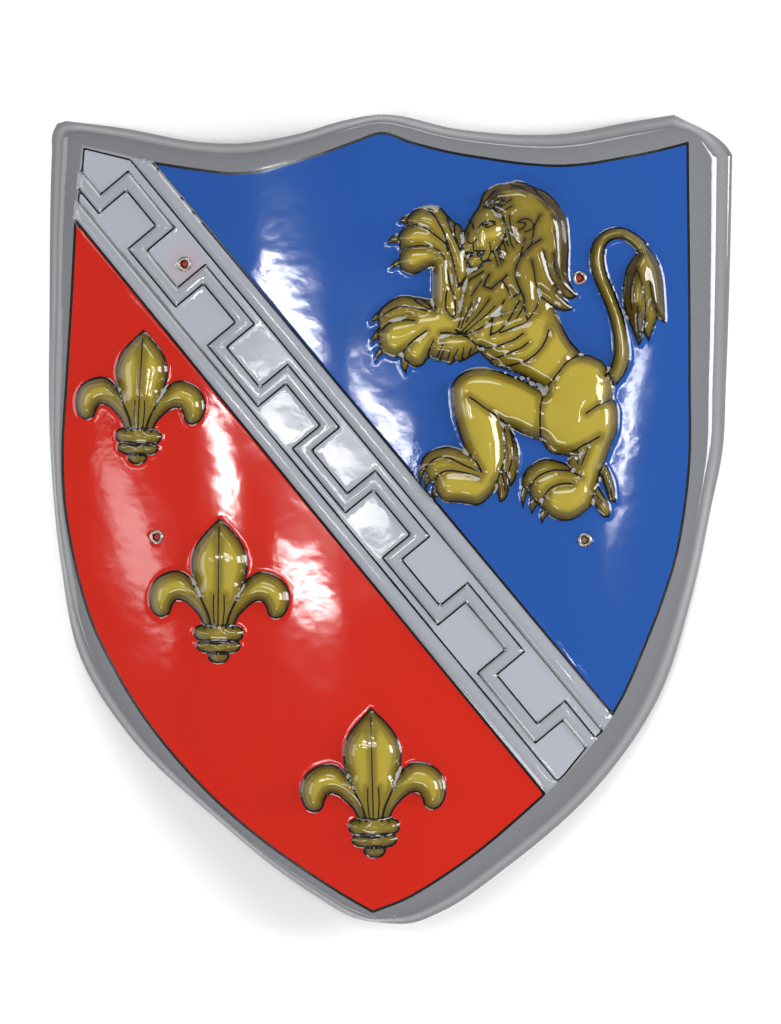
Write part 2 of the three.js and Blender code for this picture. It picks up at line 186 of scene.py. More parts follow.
rimOutline = [
    [-196, 239.6], [-162.6, 235], [-114.6, 226], [-93, 225], [-57, 230.3], [-28, 238.6], [-7, 242.1],
    [40, 233.4], [77, 230.2], [101.4, 230.7], [145, 238.6], [170.8, 243], [202.5, 224.4], [206, 219.5],
    [204.6, 155], [202.1, 81], [200, 40], [193.2, 6.6], [181.2, -48], [160.8, -109], [128.4, -156.6],
    [69, -210], [29.8, -236.4], [12.3, -243], [-4, -243], [-19, -240.8], [-48, -225], [-106, -180],
    [-158.6, -130], [-187, -85], [-199.5, -25], [-205.5, 41], [-206, 131], [-204.6, 221], [-204, 233],
    [-201.5, 238],
]
blueOutline = [
    [-142.8, 213.2], [-114.6, 208.8], [-95.4, 206.6], [-80.2, 207.6], [-61.2, 212.5], [-38, 219.4],
    [-19, 226.3], [-6.3, 230.4], [12, 224.8], [35, 219], [58, 215.2], [80.9, 212.2], [101.4, 211.2],
    [119.6, 212.8], [137.8, 216.1], [155.9, 219.7], [178.5, 225.6], [179.7, 82.8], [179.3, 31.2],
    [176.3, 3.6], [170.8, -25.2], [163.6, -48], [150.5, -81.6], [138.8, -107.7], [133, -117.9],
]
redOutline = [
    [-190, 179.2], [92, -165.5], [77.8, -178.2], [51.6, -200.1], [29.8, -215.4], [7.8, -228.4],
    [-11, -235.7], [-26.3, -227], [-48.1, -213.2], [-77.2, -192.8], [-106.3, -168], [-129.6, -143.4],
    [-147, -121.6], [-156.4, -107.7], [-167.4, -88.8], [-179, -65.4], [-187, -40.8], [-193.5, -11.7],
    [-196.4, 7.2], [-197.9, 39.2], [-195.7, 79.2], [-192.8, 126],
]
# the edge of the whole field: the two coloured fields and the ends of the band between them
fieldOutline = [*blueOutline, *redOutline[1:], redOutline[0], [-186.3, 216], [-185.4, 223.6], [-168, 219.6]]

eyeletPlaces = {}
for nodeName in ["arm_upper_eyelet", "arm_lower_eyelet", "grip_upper_eyelet", "grip_lower_eyelet"]:
    low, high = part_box(nodeName)
    eyeletPlaces[nodeName] = (low + high) / 2 / toMetres


def bend(x):
    radius = sheetSizes["bendRadius"]
    return np.sqrt(radius**2 - x**2) - math.sqrt(radius**2 - sheetSizes["halfWidth"] ** 2)


def fieldHeight(x):
    return sheetSizes["rimDrop"] + bend(x)


def rimHeight(x):
    return np.maximum(0, bend(x) - sheetSizes["seatTakeUp"]) + sheetSizes["wall"]


rimLine = smoothLine(closed(rimOutline), sheetSizes["rimStep"], sheetSizes["rimCorner"])[:-1]
fieldLine = smoothLine(closed(fieldOutline), sheetSizes["fieldStep"])[:-1]
rimNearest = Nearest(evenSteps(loopOf(rimLine), sheetSizes["sampleStep"])[:-1], True)
fieldNearest = Nearest(evenSteps(loopOf(fieldLine), sheetSizes["sampleStep"])[:-1], True)


def borderShare(places):
    # 0 at the rim, 1 at the edge of the field, and more inside it
    toRim, _ = rimNearest.ask(places)
    toField, _ = fieldNearest.ask(places)
    inside = insidePolygon(places, fieldLine)
    across = toRim / np.maximum(toRim + toField, 1e-6)
    return np.where(inside, 1 + toField / 20, across), np.where(inside, toField, -toField)


def sheetHeight(places, share):
    x = places[:, 0]
    field = fieldHeight(x)
    rim = rimHeight(x)
    sizes = sheetSizes
    lip = rim + (field - rim) * sizes["lip"]
    levels = [rim, rim, lip, field + sizes["crown"], field, field]
    knots = sizes["borderShares"]
    total, weights = 0, 0
    for shift in range(-6, 7):
        weight = math.exp(-((shift / 3) ** 2))
        moved = np.clip(share + shift / 3 * sizes["blur"], 0, knots[-1] - 1e-6)
        k = np.clip(np.searchsorted(knots, moved, side="right") - 1, 0, len(knots) - 2)
        part = (moved - np.take(knots, k)) / (np.take(knots, k + 1) - np.take(knots, k))
        stacked = np.stack(levels)
        here = stacked[k, np.arange(len(x))]
        there = stacked[k + 1, np.arange(len(x))]
        total = total + weight * (here + (there - here) * part)
        weights += weight
    return total / weights


bandSizes = {
    "start": (-166.4, 196.2),
    "degrees": -50.5,
    "length": 438,
    "railMiddle": 24.8,
    "railHalf": 4.9,
    "fretHalf": 4.1,
    "fretUpper": 10.3,
    "fretLower": -11.4,
    "fretKeys": 11,
    "fretPitch": 36,
    "fretGrowth": 0.58,
    "rise": 2.4,
    "bevel": 2.2,
    "innerLine": 20.1,
    "upperEnd": 436.6,  # where the panels' two long lines end
    "lowerEnd": 442.3,
    "fretUpperRun": (-22.6, 437),
    "fretLowerRun": (-14.9, 438),
}
bandAngle = math.radians(bandSizes["degrees"])
bandAxes = np.array([[math.cos(bandAngle), math.sin(bandAngle)], [-math.sin(bandAngle), math.cos(bandAngle)]])


def onBand(points):
    return np.array(bandSizes["start"]) + np.asarray(points, float) @ bandAxes


def bandPlaces(places):
    return (places - np.array(bandSizes["start"])) @ bandAxes.T


def fretLine():
    line = [[-24, bandSizes["fretLower"]]]
    for k in range(bandSizes["fretKeys"]):
        along = bandSizes["fretPitch"] * k + bandSizes["fretGrowth"] * k * (k - 1)
        sides = [bandSizes["fretLower"], bandSizes["fretUpper"]]
        line += [[along, sides[k % 2]], [along, sides[1 - k % 2]]]
    return [*line, [bandSizes["length"] + 1, bandSizes["fretUpper"]]]


def fretDistance(places):
    # how far a place is from the fret's centre line, with square corners
    at = bandPlaces(places)
    line = np.array(fretLine())
    best = np.full(len(places), 1e3)
    for a, b in zip(line, line[1:]):
        beyond = np.maximum(np.minimum(a, b) - at, at - np.maximum(a, b))
        best = np.minimum(best, np.maximum(beyond.max(1), 0))
    return best


panelEnds = {
    "upper": [[-185.8, 209.5], [-184.8, 222.4], [-156.8, 215.3]],
    "lower": [[-188.2, 190.9], [-187.5, 198.1]],
    "right": [[117, -137.8], [110, -146.4], [100.3, -157.2]],
}


def panelArea():
    inner = bandSizes["innerLine"]
    farEdge = onBand([[bandSizes["upperEnd"], inner]])
    nearEdge = onBand([[bandSizes["lowerEnd"], -inner]])
    return np.vstack([panelEnds["upper"], farEdge, panelEnds["right"], nearEdge, panelEnds["lower"]])


def bandInk():
    inner = bandSizes["innerLine"]
    half = bandSizes["fretHalf"]
    upper = offsetLine(fretLine(), half)
    lower = offsetLine(fretLine(), -half)
    upper[[0, -1], 0] = bandSizes["fretUpperRun"]
    lower[[0, -1], 0] = bandSizes["fretLowerRun"]
    topEnd = [[bandSizes["upperEnd"], inner], upper[-1]]
    topLine = [*panelEnds["upper"], *onBand(topEnd)]
    bottomLine = [*panelEnds["right"], *onBand([[bandSizes["lowerEnd"], -inner]]), *panelEnds["lower"]]
    return [topLine, bottomLine, onBand(upper), onBand(lower)]


def bandRelief(places, inField):
    at = bandPlaces(places)
    sizes = bandSizes
    rail = smoothStep((sizes["railHalf"] - np.abs(np.abs(at[:, 1]) - sizes["railMiddle"])) / sizes["bevel"])
    fret = smoothStep((sizes["fretHalf"] + 0.5 - fretDistance(places)) / sizes["bevel"])
    fret *= smoothStep((at[:, 0] + 26) / 3) * smoothStep((441 - at[:, 0]) / 3)
    raised = np.maximum(rail, fret * (np.abs(at[:, 1]) < sizes["innerLine"]))
    return sizes["rise"] * raised * smoothStep(inField / 2.5 + 0.4)


fleurSizes = {
    "relief": 8,
    "petal": [[0, 62, 1.2], [0, 55, 8], [0, 41, 17.2], [0, 24, 14], [0, 8, 6.5], [0, 0, 4.5]],
    "horn": [[7, 2, 3.5], [12, 15, 6.5], [22, 25, 8.2], [33, 22.5, 8], [37, 11, 6.2]],
    "collar": [[-10.8, -4.4, 4.4], [0, -4.8, 4.6], [10.8, -4.4, 4.4]],
    "lowerCollar": [[-10, -12.8, 3.1], [10, -12.8, 3.1]],
    "finial": [[0, -16, 6], [0, -19.4, 3.4]],
    "places": [(-151.6, 53.1, -3, 0.9), (-103.3, -64.8, -0.7, 0.97), (-10.2, -180.4, 1.4, 1)],
}
petalEdge = [
    [-4.6, -1], [-6.6, 7], [-10.2, 15], [-13.9, 23.5], [-16.4, 32], [-17.1, 40], [-15.2, 47.5], [-11, 54.6],
    [-5.4, 60.8], [0, 66.3], [5.4, 60.8], [11, 54.6], [15.2, 47.5], [17.1, 40], [16.4, 32], [13.9, 23.5],
    [10.2, 15], [6.6, 7], [4.6, -1],
]
hornEdge = [
    [12.2, 18.6], [14.4, 24.4], [18.6, 29.8], [25, 33.4], [33, 32.2], [39.6, 27.6], [43.2, 20],
    [42.6, 12.6], [39.6, 7.2], [35, 5.4], [31, 7.6], [29.6, 12], [26.6, 16], [22, 15.6], [16.4, 11.4],
    [11.8, 6.2], [8.6, -1],
]
hornRoot = [[3, -1], [3, 6], [8, 15]]  # behind the petal
fleurLines = [
    [[-0.4, 1], [-0.4, 61]],
    [[-2.6, 1], [-3.4, 10], [-3.2, 19]],
    [[2.6, 1], [3.4, 10], [3.2, 19]],
]


def mirrored(points):
    return [[-x, *rest] for x, *rest in points]


def fleurShapes():
    collar = [[0, 0.2], [11, 0.2], [14, -1.2], [15, -4.4], [14, -7.4], [11, -8.8]]
    lower = [[0, -9.2], [11, -9.4], [13.3, -11.2], [12.8, -13.8], [9.6, -16], [5.6, -16.7]]
    finial = [[0, -15.8], [5, -16.4], [6.3, -18.8], [4.4, -21.6], [0, -22.8]]
    collar, lower, finial = (
        [*half, *mirrored([p for p in half if p[0]])[::-1]] for half in (collar, lower, finial)
    )
    horns = [(hornEdge, hornRoot), (mirrored(hornEdge), mirrored(hornRoot))]
    return [(petalEdge, []), *horns, *[(closed(shape), []) for shape in (collar, lower, finial)]]


def putFleur(points, x, y, lean, size):
    turn = math.radians(lean)
    spread = np.asarray(points, float)
    axes = size * np.array([[math.cos(turn), math.sin(turn)], [-math.sin(turn), math.cos(turn)]])
    return spread[:, :2] @ axes + np.array([x, y])


lionDrop = 1.2  # the lion's own origin lies this far below the face's
lionRelief = 11
lionSpines = {
    "crown": [[66, 191, 8], [80, 189, 12.5], [93, 179, 12.5], [98, 164, 8.5], [100, 149, 7], [111, 135, 1]],
    "mane": [[79, 176, 14], [86, 160, 14], [92, 146, 8], [107, 127.5, 1]],
    "nape": [[70, 162, 11], [78, 146, 11], [82, 132, 6], [82, 121, 1.5]],
    "ruff": [[66, 150, 10], [58, 139, 13], [51, 126, 9], [42, 114, 2.5]],
    "brow": [[57, 182, 5], [58, 174, 9.5], [57, 164, 7.5]],
    "muzzle": [[51, 178, 2.5], [47.5, 168, 4], [47, 163, 3.5]],
    "jaw": [[49, 154.5, 4], [58, 156, 4]],
    "chest": [[58, 112, 10], [78, 108, 17], [92, 100, 18], [104, 89, 15]],
    "haunch": [[117, 84, 14.5], [112, 71, 21], [110, 60, 20]],
    "rump": [[126, 66, 9.5], [127, 54, 8.5], [122, 38, 7.5], [116, 22, 7.5]],
    "thigh": [[48, 78, 11], [64, 74.5, 13.5], [80, 67, 14.5], [94, 63, 14]],
    "shin": [[48, 76, 11], [51, 62, 13], [56, 45, 11.5], [59, 28, 8.5]],
    "upperArm": [[30, 156, 5], [30.5, 142, 5.5], [33, 127, 7.5]],
    "armFur": [[34, 177, 4.5], [40, 160, 5.5], [41, 147, 4], [39, 132, 1.5]],
    "lowerArm": [[18, 115, 9], [32, 118, 7.5], [46, 117, 6]],
    "armFringe": [[29, 103, 6], [38, 103, 8], [48, 106, 5]],
    "highToe": [[16, 180, 5.2], [25, 177, 6], [33, 167, 4]],
    "middleToe": [[12, 169.5, 6.6], [22, 169, 6.2], [32, 160, 4.5]],
    "lowToe": [[12, 155.5, 7], [20, 156, 6.5], [28, 154, 4]],
    "topToe": [[-1, 124.5, 4.8], [8, 128, 5], [20, 126, 5]],
    "palm": [[3, 109.5, 9.6], [13, 112, 9.5], [24, 115, 8]],
    "thumb": [[14.5, 100, 7.5], [19, 106, 6.5], [25, 113, 6]],
    "hindToe": [[21, 33, 4.6], [32, 38.5, 4.6], [44, 35, 4.5], [52, 30, 3]],
    "hindMiddle": [[26, 28.5, 4.8], [37, 31, 4.8], [50, 27.5, 4]],
    "hindPaw": [[36, 20.3, 9.3], [48, 19.5, 9.6], [57, 22, 9]],
    "farToe": [[83, 25, 5], [93, 31, 5], [105, 30.5, 3.5]],
    "farMiddle": [[89, 19.5, 6.5], [100, 25, 5], [112, 24, 4]],
    "farPaw": [[101, 11.2, 10], [109, 11.5, 10.3], [114, 15, 9]],
    "tail": [[134, 87, 4.5], [138, 102, 4.2], [135, 122, 3.9], [127, 142, 3.7], [124, 157, 3.6],
             [128, 169, 3.4], [138, 172, 3.1], [147, 167.5, 3], [152, 160, 3.6]],
    "tuft": [[152, 158, 4], [150, 145, 8.5], [147, 130, 7], [149, 107, 1]],
    "tuftSide": [[155, 157, 4], [158, 142, 5.2], [160, 130, 4], [164, 119.5, 1]],
    "hockHair": [[70, 54, 2.5], [73.5, 42, 3.6], [71, 22, 1]],
    "hockTuft": [[66, 28, 3], [66.8, 20, 3.6], [66.2, 13, 1]],
    "farHockHair": [[127, 31, 2.5], [131, 20, 3.6], [133, 13, 1.2]],
    "farHockTuft": [[124, 18, 2.5], [126.5, 10, 3.6], [129.5, 4, 1.2]],
}

# Each silhouette is an inked edge and the points that close it out of sight behind its neighbours.
lionSilhouettes = {
    "upperPaw": (
        [[24.8, 131], [25.5, 145], [25.4, 152.3], [20, 150.5], [14, 147.4], [10, 148], [6, 150.8], [5, 155],
         [6.1, 160.8], [5.3, 165], [5, 170.5], [7, 173.5], [9.3, 176], [10, 180], [12, 183], [15, 185.5],
         [19, 187.2], [24, 187.9], [29, 187], [33.3, 182.5], [38, 178], [41, 176.5], [42.6, 172], [42, 166],
         [41.5, 162]],
        [[46, 157], [46, 147], [40.5, 139], [38, 125], [30, 124]],
    ),
    "lowerPaw": (
        [[24.6, 131.7], [19, 132.4], [13.9, 133.1], [7, 134], [1.9, 132.2], [-3.1, 128.7], [-6.4, 125.5],
         [-7.7, 121.5], [-7, 117], [-7.4, 110], [-6.6, 105.2], [-5, 101], [-2.2, 99], [1.9, 97.4], [5.5, 98],
         [10, 94.5], [12.1, 92.5], [14.9, 91.9], [19, 93.3], [22, 97], [23.6, 97.6], [26, 97], [27.6, 95.2],
         [31, 96.2], [35.6, 93.3], [38, 95.8], [40.5, 95], [44, 96], [48.6, 98.7], [52.7, 101]],
        [[58, 104], [60, 115], [45, 125], [34, 128]],
    ),
    "head": (
        [[41.5, 162.5], [44.4, 173], [46.9, 178], [49.9, 183.5], [52.5, 187], [53.9, 190.5], [55.4, 195],
         [58.4, 198], [63.4, 200.5], [69.9, 201.5], [74.4, 202.7], [79.4, 201.7], [85.4, 199.2],
         [90.4, 197.5], [96.9, 192.5], [101.9, 186], [105.2, 179], [106.4, 169.5], [106.3, 160],
         [105.7, 152], [106.7, 142], [108.9, 138.5], [111.5, 134.5], [107.9, 133], [102.9, 134.5],
         [101.4, 136.3], [105.4, 130.5], [108.4, 126.5], [105, 125.7], [100.9, 126.5], [96.9, 128.3]],
        [[88, 118], [60, 112], [44, 112], [38, 118], [36, 140], [40, 155]],
    ),
    "body": (
        [[96.9, 128.3], [98.9, 124.5], [101.4, 118.5], [103.9, 113], [107.4, 107], [110.9, 103],
         [114.7, 99.3], [119.3, 98.5], [122.7, 96.8], [126.5, 95], [129.1, 91.1], [131.2, 86.8],
         [133.3, 82.2], [133.7, 79.2], [132.7, 74.6], [132.9, 72], [134.6, 69.8], [136, 65.7], [136, 60.2],
         [135.6, 55.3], [134.1, 50.4], [132, 45.8], [129.3, 38], [127.7, 34], [125.4, 29], [123.6, 22.2],
         [121.3, 14.8], [120, 9], [116, 5.2], [112.4, 2.5], [107.6, 0.3], [102.9, 0], [98.1, 1.1], [94, 3.6],
         [91.2, 7], [88, 9.8], [83.9, 14], [82.5, 18], [79, 20.2], [78.9, 23.5], [80.2, 28.1], [83, 31.8],
         [87, 34.6], [91.8, 36.2], [96.6, 35.9], [102, 34.3], [106.2, 32.7], [107, 38.4], [103, 39.5],
         [98.7, 39.8], [93.6, 42.6], [91.8, 45.8], [89.8, 48], [85.7, 49], [80.2, 51], [73.7, 54.6],
         [71.2, 55.2], [73.5, 49.8], [75.3, 44.4], [76.4, 37.8], [75.8, 31.4], [74.4, 25], [71.9, 20.4],
         [69.8, 24.5], [70, 17], [66.8, 11.6], [65.4, 11], [64.5, 14.8], [63.3, 20], [59.3, 14.8],
         [55.4, 11.1], [52, 9.3], [47, 9.6], [41.6, 10.6], [37.2, 10.8], [32.2, 11.2], [29.3, 13.8],
         [27.6, 16.7], [25.8, 20.5], [22, 25.5], [20.6, 28.7], [17.6, 30.5], [18.4, 34.2], [20.7, 38.7],
         [24.8, 41.6], [29.9, 43], [34.9, 43.5], [40, 42.4], [44.8, 41.5], [43.8, 45.1], [41.7, 50.5],
         [39.5, 58], [37.7, 66], [36.7, 73.4], [36.8, 80], [40, 85.4], [44.6, 88.7], [49.7, 90.6], [55.7, 91],
         [61.7, 89.8], [69.6, 87.1], [77.4, 84.2], [83.9, 80.8], [88.4, 78.2], [91.6, 76.8], [91.3, 79.8],
         [85.7, 82.9], [79.7, 86.4], [72, 89.6], [66, 91.6], [61.9, 92.8], [59.9, 94.3], [58.4, 95.8],
         [55.4, 98.5], [53.2, 102], [52.5, 104]],
        [[62, 116], [84, 122]],
    ),
    "tuft": (
        [[148.4, 160.8], [145.5, 157], [142, 151.3], [140.3, 143.8], [139.4, 135.3], [140, 129.4],
         [141.5, 124.2], [144.3, 116.8], [146.7, 111], [149, 105.3], [150.7, 109], [150.7, 115],
         [151.6, 120], [152.4, 113], [155, 108], [157, 114], [160, 122], [164.6, 119], [164.3, 128],
         [163.7, 137], [162.8, 146], [160.5, 154.2], [156.5, 160.5], [152.4, 166.2]],
        [[150, 163]],
    ),
    "farHockHair": (
        [[128, 34], [130.5, 30], [132.8, 24], [134.3, 17], [134.9, 11], [131.4, 11.7], [128.7, 20],
         [126, 28]],
        [[125, 30]],
    ),
    "farHockTuft": (
        [[124, 20], [127.5, 14.5], [130.4, 9.8], [131.4, 5], [130.5, 1.9], [128, 2], [124.5, 6],
         [121.8, 11.3]],
        [[121, 14]],
    ),
}
tailSpine = [
    [132, 84, 4.2], [137, 92, 4.5], [138.6, 99, 4.7], [138.3, 106, 4.4], [137.4, 113, 4.1], [135.8, 120, 3.8],
    [132.8, 129, 3.7], [129.4, 137.5, 3.6], [125.7, 146, 3.8], [123.8, 154, 3.8], [123.7, 160, 3.9],
    [125.4, 166, 4.1], [129.5, 170.3, 3.7], [134.8, 172.2, 3.3], [139, 172.1, 3.1], [143.5, 170, 3],
    [147.5, 167, 3.2], [151, 163.5, 3.6],
]
# Each claw is the two ends of its root, with its tip between them.
lionClaws = [
    [[12, 183], [4.6, 178.4], [9.3, 177]], [[5, 171.6], [-2.4, 165.8], [5, 165.6]],
    [[5.6, 156.6], [-0.6, 150.4], [5.6, 152]], [[-5.2, 126.4], [-12.6, 117.8], [-7.5, 120]],
    [[-7.3, 115], [-11.8, 105.8], [-7.2, 109]], [[-6.2, 104], [-9.4, 94.8], [-4.4, 100.5]],
    [[6, 97.8], [9, 87.6], [10.8, 94.2]], [[17.4, 33.5], [17.8, 22.9], [20.4, 29.6]],
    [[20.6, 28.4], [21, 19.2], [24.2, 23.4]], [[26, 21.2], [25.8, 13.2], [29.2, 14.8]],
    [[79, 20.8], [79, 7.2], [82.4, 18.6]], [[84, 14.6], [84.6, 3.6], [88.2, 10]],
    [[91.2, 7.6], [90.4, -2.2], [94.4, 4]],
]
# Ink lines inside the silhouettes. Muscle lines lie in grooves; hair lines are fine strokes.
muscleLines = [
    [[9.5, 176.3], [16, 176.3], [21.8, 174], [27.3, 169.6], [32.4, 165.2], [34, 161]],
    [[8, 162.5], [13, 163.5], [19, 164], [25, 163.1], [29.6, 160], [31.5, 157], [34, 147], [35.6, 139.6],
     [38, 133], [38.4, 120.4]],
    [[21, 187], [26, 182], [29.2, 176.5], [32.4, 170], [34.7, 162.7], [37.5, 153.4], [40.3, 140.5]],
    [[33.5, 181], [35.2, 174.7], [38.4, 167.7], [42, 160], [45.3, 153.4], [46, 148], [43, 143.3],
     [40.5, 139.5]],
    [[38, 178], [38.2, 171], [39.6, 166.4], [41.5, 162]],
    [[33.3, 136.8], [32.6, 130.3], [33, 126], [36, 122], [38, 121]],
    [[-5.2, 122.3], [-2.2, 124.3], [1.9, 126.5], [7, 127.6], [13.9, 127], [21, 125]],
    [[-5.7, 113.5], [-3.6, 115.6], [0, 118.2], [5.2, 119.4], [10, 119.7], [14, 119.3]],
    [[6.1, 97.8], [7.9, 101.5], [11.2, 105.4], [14.9, 108.7], [18.8, 111.4], [21, 113]],
    [[22, 97], [22.7, 100.6], [25.3, 107]],
    [[29.6, 111.9], [34, 112], [38.4, 111.2], [44.9, 109.8], [49, 106.6], [52.3, 103.8]],
    [[42, 166], [44, 160.5], [46, 158], [45.9, 154.5], [46.9, 152], [50, 150.5], [54.5, 153.5], [60, 155.5]],
    [[55.4, 187.7], [59.4, 186.5], [64.7, 183.2], [67.7, 179], [68.9, 174], [67.4, 168.5], [64.4, 163],
     [60.4, 160.5]],
    [[89.7, 168], [83.9, 164.4], [78.9, 158.5], [75.4, 153], [74.4, 147.5], [75.2, 143.3], [77.4, 137.5],
     [79.2, 134], [79.9, 128], [80.9, 123], [81.9, 119], [83.4, 121.5], [86.4, 126], [88.5, 131], [88, 137]],
    [[88, 137], [89.4, 134.5], [92.9, 131.5], [96.9, 128.3]],
    [[101.5, 136], [98.9, 139.5], [95.9, 145], [93.4, 153], [91.4, 160.5]],
    [[110, 135], [106.9, 137.5], [102.9, 142], [99.4, 147.8], [97.4, 154], [97.4, 159]],
    [[58.7, 147], [56.4, 142.5], [55.4, 140], [60, 138.2], [63.4, 141.5], [66.4, 143.6], [69.4, 146.5]],
    [[66.4, 143.5], [69.9, 138], [72.9, 133.5], [77.4, 136]],
    [[41.9, 140], [46.9, 143.5], [54.9, 148.5]],
    [[38.5, 113.5], [44, 110.6], [51.9, 113.8], [57.4, 117.3], [60.9, 121], [64.9, 125], [66.5, 129],
     [68, 131.5]],
    [[60.9, 121], [60.4, 117], [59.4, 110.7], [63.4, 112.5], [68.4, 117], [71.9, 122], [74.9, 128],
     [77, 131]],
    [[82, 118.5], [76.9, 116.4], [71.4, 114.3], [65.4, 112]],
    [[52.9, 104.5], [56.9, 103.1], [62.4, 103.5], [67.9, 105.5], [73.9, 108], [78.9, 111.5]],
    [[59.9, 95.8], [65.4, 97.8], [71.9, 100.5], [77.9, 103], [81.9, 106]],
    [[66.4, 91.3], [73.9, 93.2], [80.9, 95.3], [85.4, 98.3], [89.9, 103], [92.9, 108.5], [94.4, 113.7]],
    [[114.5, 99.6], [110.4, 97.8], [105.4, 94.5], [100.3, 88.5], [96.1, 83], [92.3, 77.5], [90.8, 73.4],
     [89.4, 67.4], [89.2, 60.4], [89.4, 53.5], [89.8, 48]],
    [[107, 39.5], [111.3, 42.4], [115.5, 45], [119.3, 46.7], [122, 48.4], [124.7, 49.8]],
    [[132.5, 73], [130.3, 71.4], [125.3, 69.4], [120.2, 66.1], [116.9, 64]],
    [[47, 73.5], [50.6, 71], [55.3, 67.6], [61.3, 63.6], [65.9, 60.3], [70, 57], [73.7, 54.6]],
    [[66, 60], [67.7, 55], [68.2, 49.8], [68.1, 45], [68.6, 41.5], [67.3, 33.8], [65.9, 30.5], [64, 25],
     [63.1, 22.2]],
    [[66.3, 30.5], [69, 28], [70.2, 24]],
    [[44.6, 41.7], [46, 40.5], [48.3, 37.6], [51.5, 33.9], [54.3, 28.8]],
    [[20.8, 31], [22.4, 33.3], [25.8, 36.3], [30, 37.5], [34.6, 37.1], [40, 34.6], [45.7, 31.9],
     [50.7, 30], [54, 29]],
    [[26.2, 22.8], [28, 26.5], [31.2, 28.8], [36, 29.5], [42, 28.7], [47.6, 27.4], [52.3, 25.8]],
    [[106.2, 32.7], [107.6, 30.4]],
    [[82.5, 18.8], [84.9, 22.4], [88, 26], [92.2, 28.3], [97.2, 29.8], [102, 29.8], [107, 29.4],
     [110.2, 28.1], [113.5, 26]],
    [[90.7, 11], [92.1, 14.7], [95.3, 18.8], [99.1, 20.9], [103.8, 21.9], [109, 21.7]],
    [[125.4, 29], [127, 32], [128, 34]],
]
hairLines = [
    [[14.4, 131.1], [18.6, 128.3], [23.6, 125.7]], [[19, 131.5], [22, 129], [26, 125]],
    [[24.1, 130.6], [26.4, 127.8], [28, 125.5]], [[31, 105], [27.5, 97.5]], [[32, 102], [29.5, 97]],
    [[35.5, 101.5], [34, 96.5]], [[40, 102], [37.5, 97]], [[43.5, 103], [42.5, 97]], [[48, 103], [46.5, 98]],
    [[50.4, 171.3], [52.4, 175], [55, 178], [58.4, 179], [62.5, 178.5]],
    [[46, 172], [45.7, 168], [46.2, 166], [48.9, 165.2], [50.9, 168]],
    [[54.5, 176.5], [58.4, 179.2], [62.8, 177], [57.4, 174.6], [54.5, 176.5]],
    [[49.9, 161], [53, 161.2], [56.4, 161.2]],
    [[51.4, 159], [54.7, 154.7], [58, 156], [59.7, 161], [58.9, 166]],
    [[46.5, 180], [49, 176.5], [49.5, 174]], [[48.9, 165.2], [49.4, 162.5]],
    [[55.5, 190], [62, 197]], [[57, 189], [64, 195]], [[59, 188], [66, 193.5]], [[61, 187], [67, 192]],
    [[62, 186], [68, 191.3]], [[64, 186], [71.5, 191.5]], [[65.5, 184], [72.5, 188]],
    [[75.7, 178.2], [79.4, 180.2], [83, 179.7], [85.4, 177], [83.9, 174], [80.2, 172.4]],
    [[76, 178], [80, 178], [80.5, 176.4], [78.4, 174.2], [76.5, 173.5]],
    [[89.2, 182.5], [86.4, 177], [84.9, 170], [83.9, 165]], [[80.2, 168.5], [78.4, 162], [77.2, 157.5]],
    [[70.7, 182.5], [71.3, 177], [72.9, 171], [75.4, 165.5]],
    [[67, 182], [69, 176], [70.9, 170], [72, 165], [73.3, 163]], [[68.5, 170], [70, 164]],
    [[67, 168], [69, 160]], [[65, 162], [67.5, 154.5]], [[63.5, 161.5], [66, 153]], [[61.5, 160], [64, 152]],
    [[85.7, 198], [89.9, 193], [94.7, 187.5]], [[97.9, 182], [102.4, 176]],
    [[98.9, 173], [100.4, 167], [100.8, 160]], [[84.2, 155.2], [85.7, 148.5], [86.9, 141], [88.4, 137]],
    [[72.4, 200.5], [77, 199.5], [80.5, 197.5]], [[45.5, 148], [48, 148], [55, 152.5]],
    [[39.7, 114], [41.9, 122], [42.2, 130], [44.4, 135.5]],
    [[41.5, 114], [44.4, 121.5], [46.4, 126], [48.5, 130]],
    [[42, 112.5], [49.4, 120], [54.9, 126.5], [58.9, 132]],
    [[44, 112], [52, 118.5], [57.4, 123], [62.4, 128]],
    [[66, 121.5], [66, 124], [70, 124.5]], [[74.9, 120.5], [77.9, 125], [79.5, 130]],
    [[48, 134], [52, 140], [54, 143]], [[45, 118.5], [48.5, 124], [51.5, 131]],
    [[71, 55], [73, 45], [72.4, 36], [70.5, 29]], [[66.2, 29], [67.4, 24], [68, 18]],
    [[112, 42.5], [112, 33.5]], [[119.5, 47], [114, 33]], [[122.5, 16], [127, 9.5]], [[130, 27], [132.5, 14]],
    [[147, 150], [144.9, 143.2], [143.5, 133.6], [144.5, 126]],
    [[147.5, 150], [150.1, 143.2], [152.1, 134.6], [152.8, 126], [152.4, 117.3]],
    [[154.7, 147.8], [155.9, 139.2], [157.6, 131.2], [160, 124.8]], [[148, 128], [148.4, 118], [149, 110]],
]
# Small places that the ink fills: pupil and open mouth.
darkPatches = [
    [[55.2, 176.6], [57, 178.2], [58.6, 177.4], [57.4, 175.4]],
    [[44.4, 160.2], [46.4, 160.6], [49.6, 160.4], [49, 157.6], [46, 157]],
    [[50.8, 160.4], [54, 160.2], [56.4, 160.4], [54.8, 156.4], [52.2, 157.8]],
]


def onLion(points):
    return np.asarray(points, float)[:, :2] - np.array([0, lionDrop])


def clawEdge(root, tip, end):
    root, tip, end = (np.array(p, float) for p in (root, tip, end))
    side = tip - root
    bulge = np.array([side[1], -side[0]]) / np.linalg.norm(side)
    bulge *= -1 if np.dot(bulge, end - root) > 0 else 1
    return [root, (root + tip) / 2 + bulge * 1.1, tip, (end + tip) / 2 + bulge * 0.5, end]


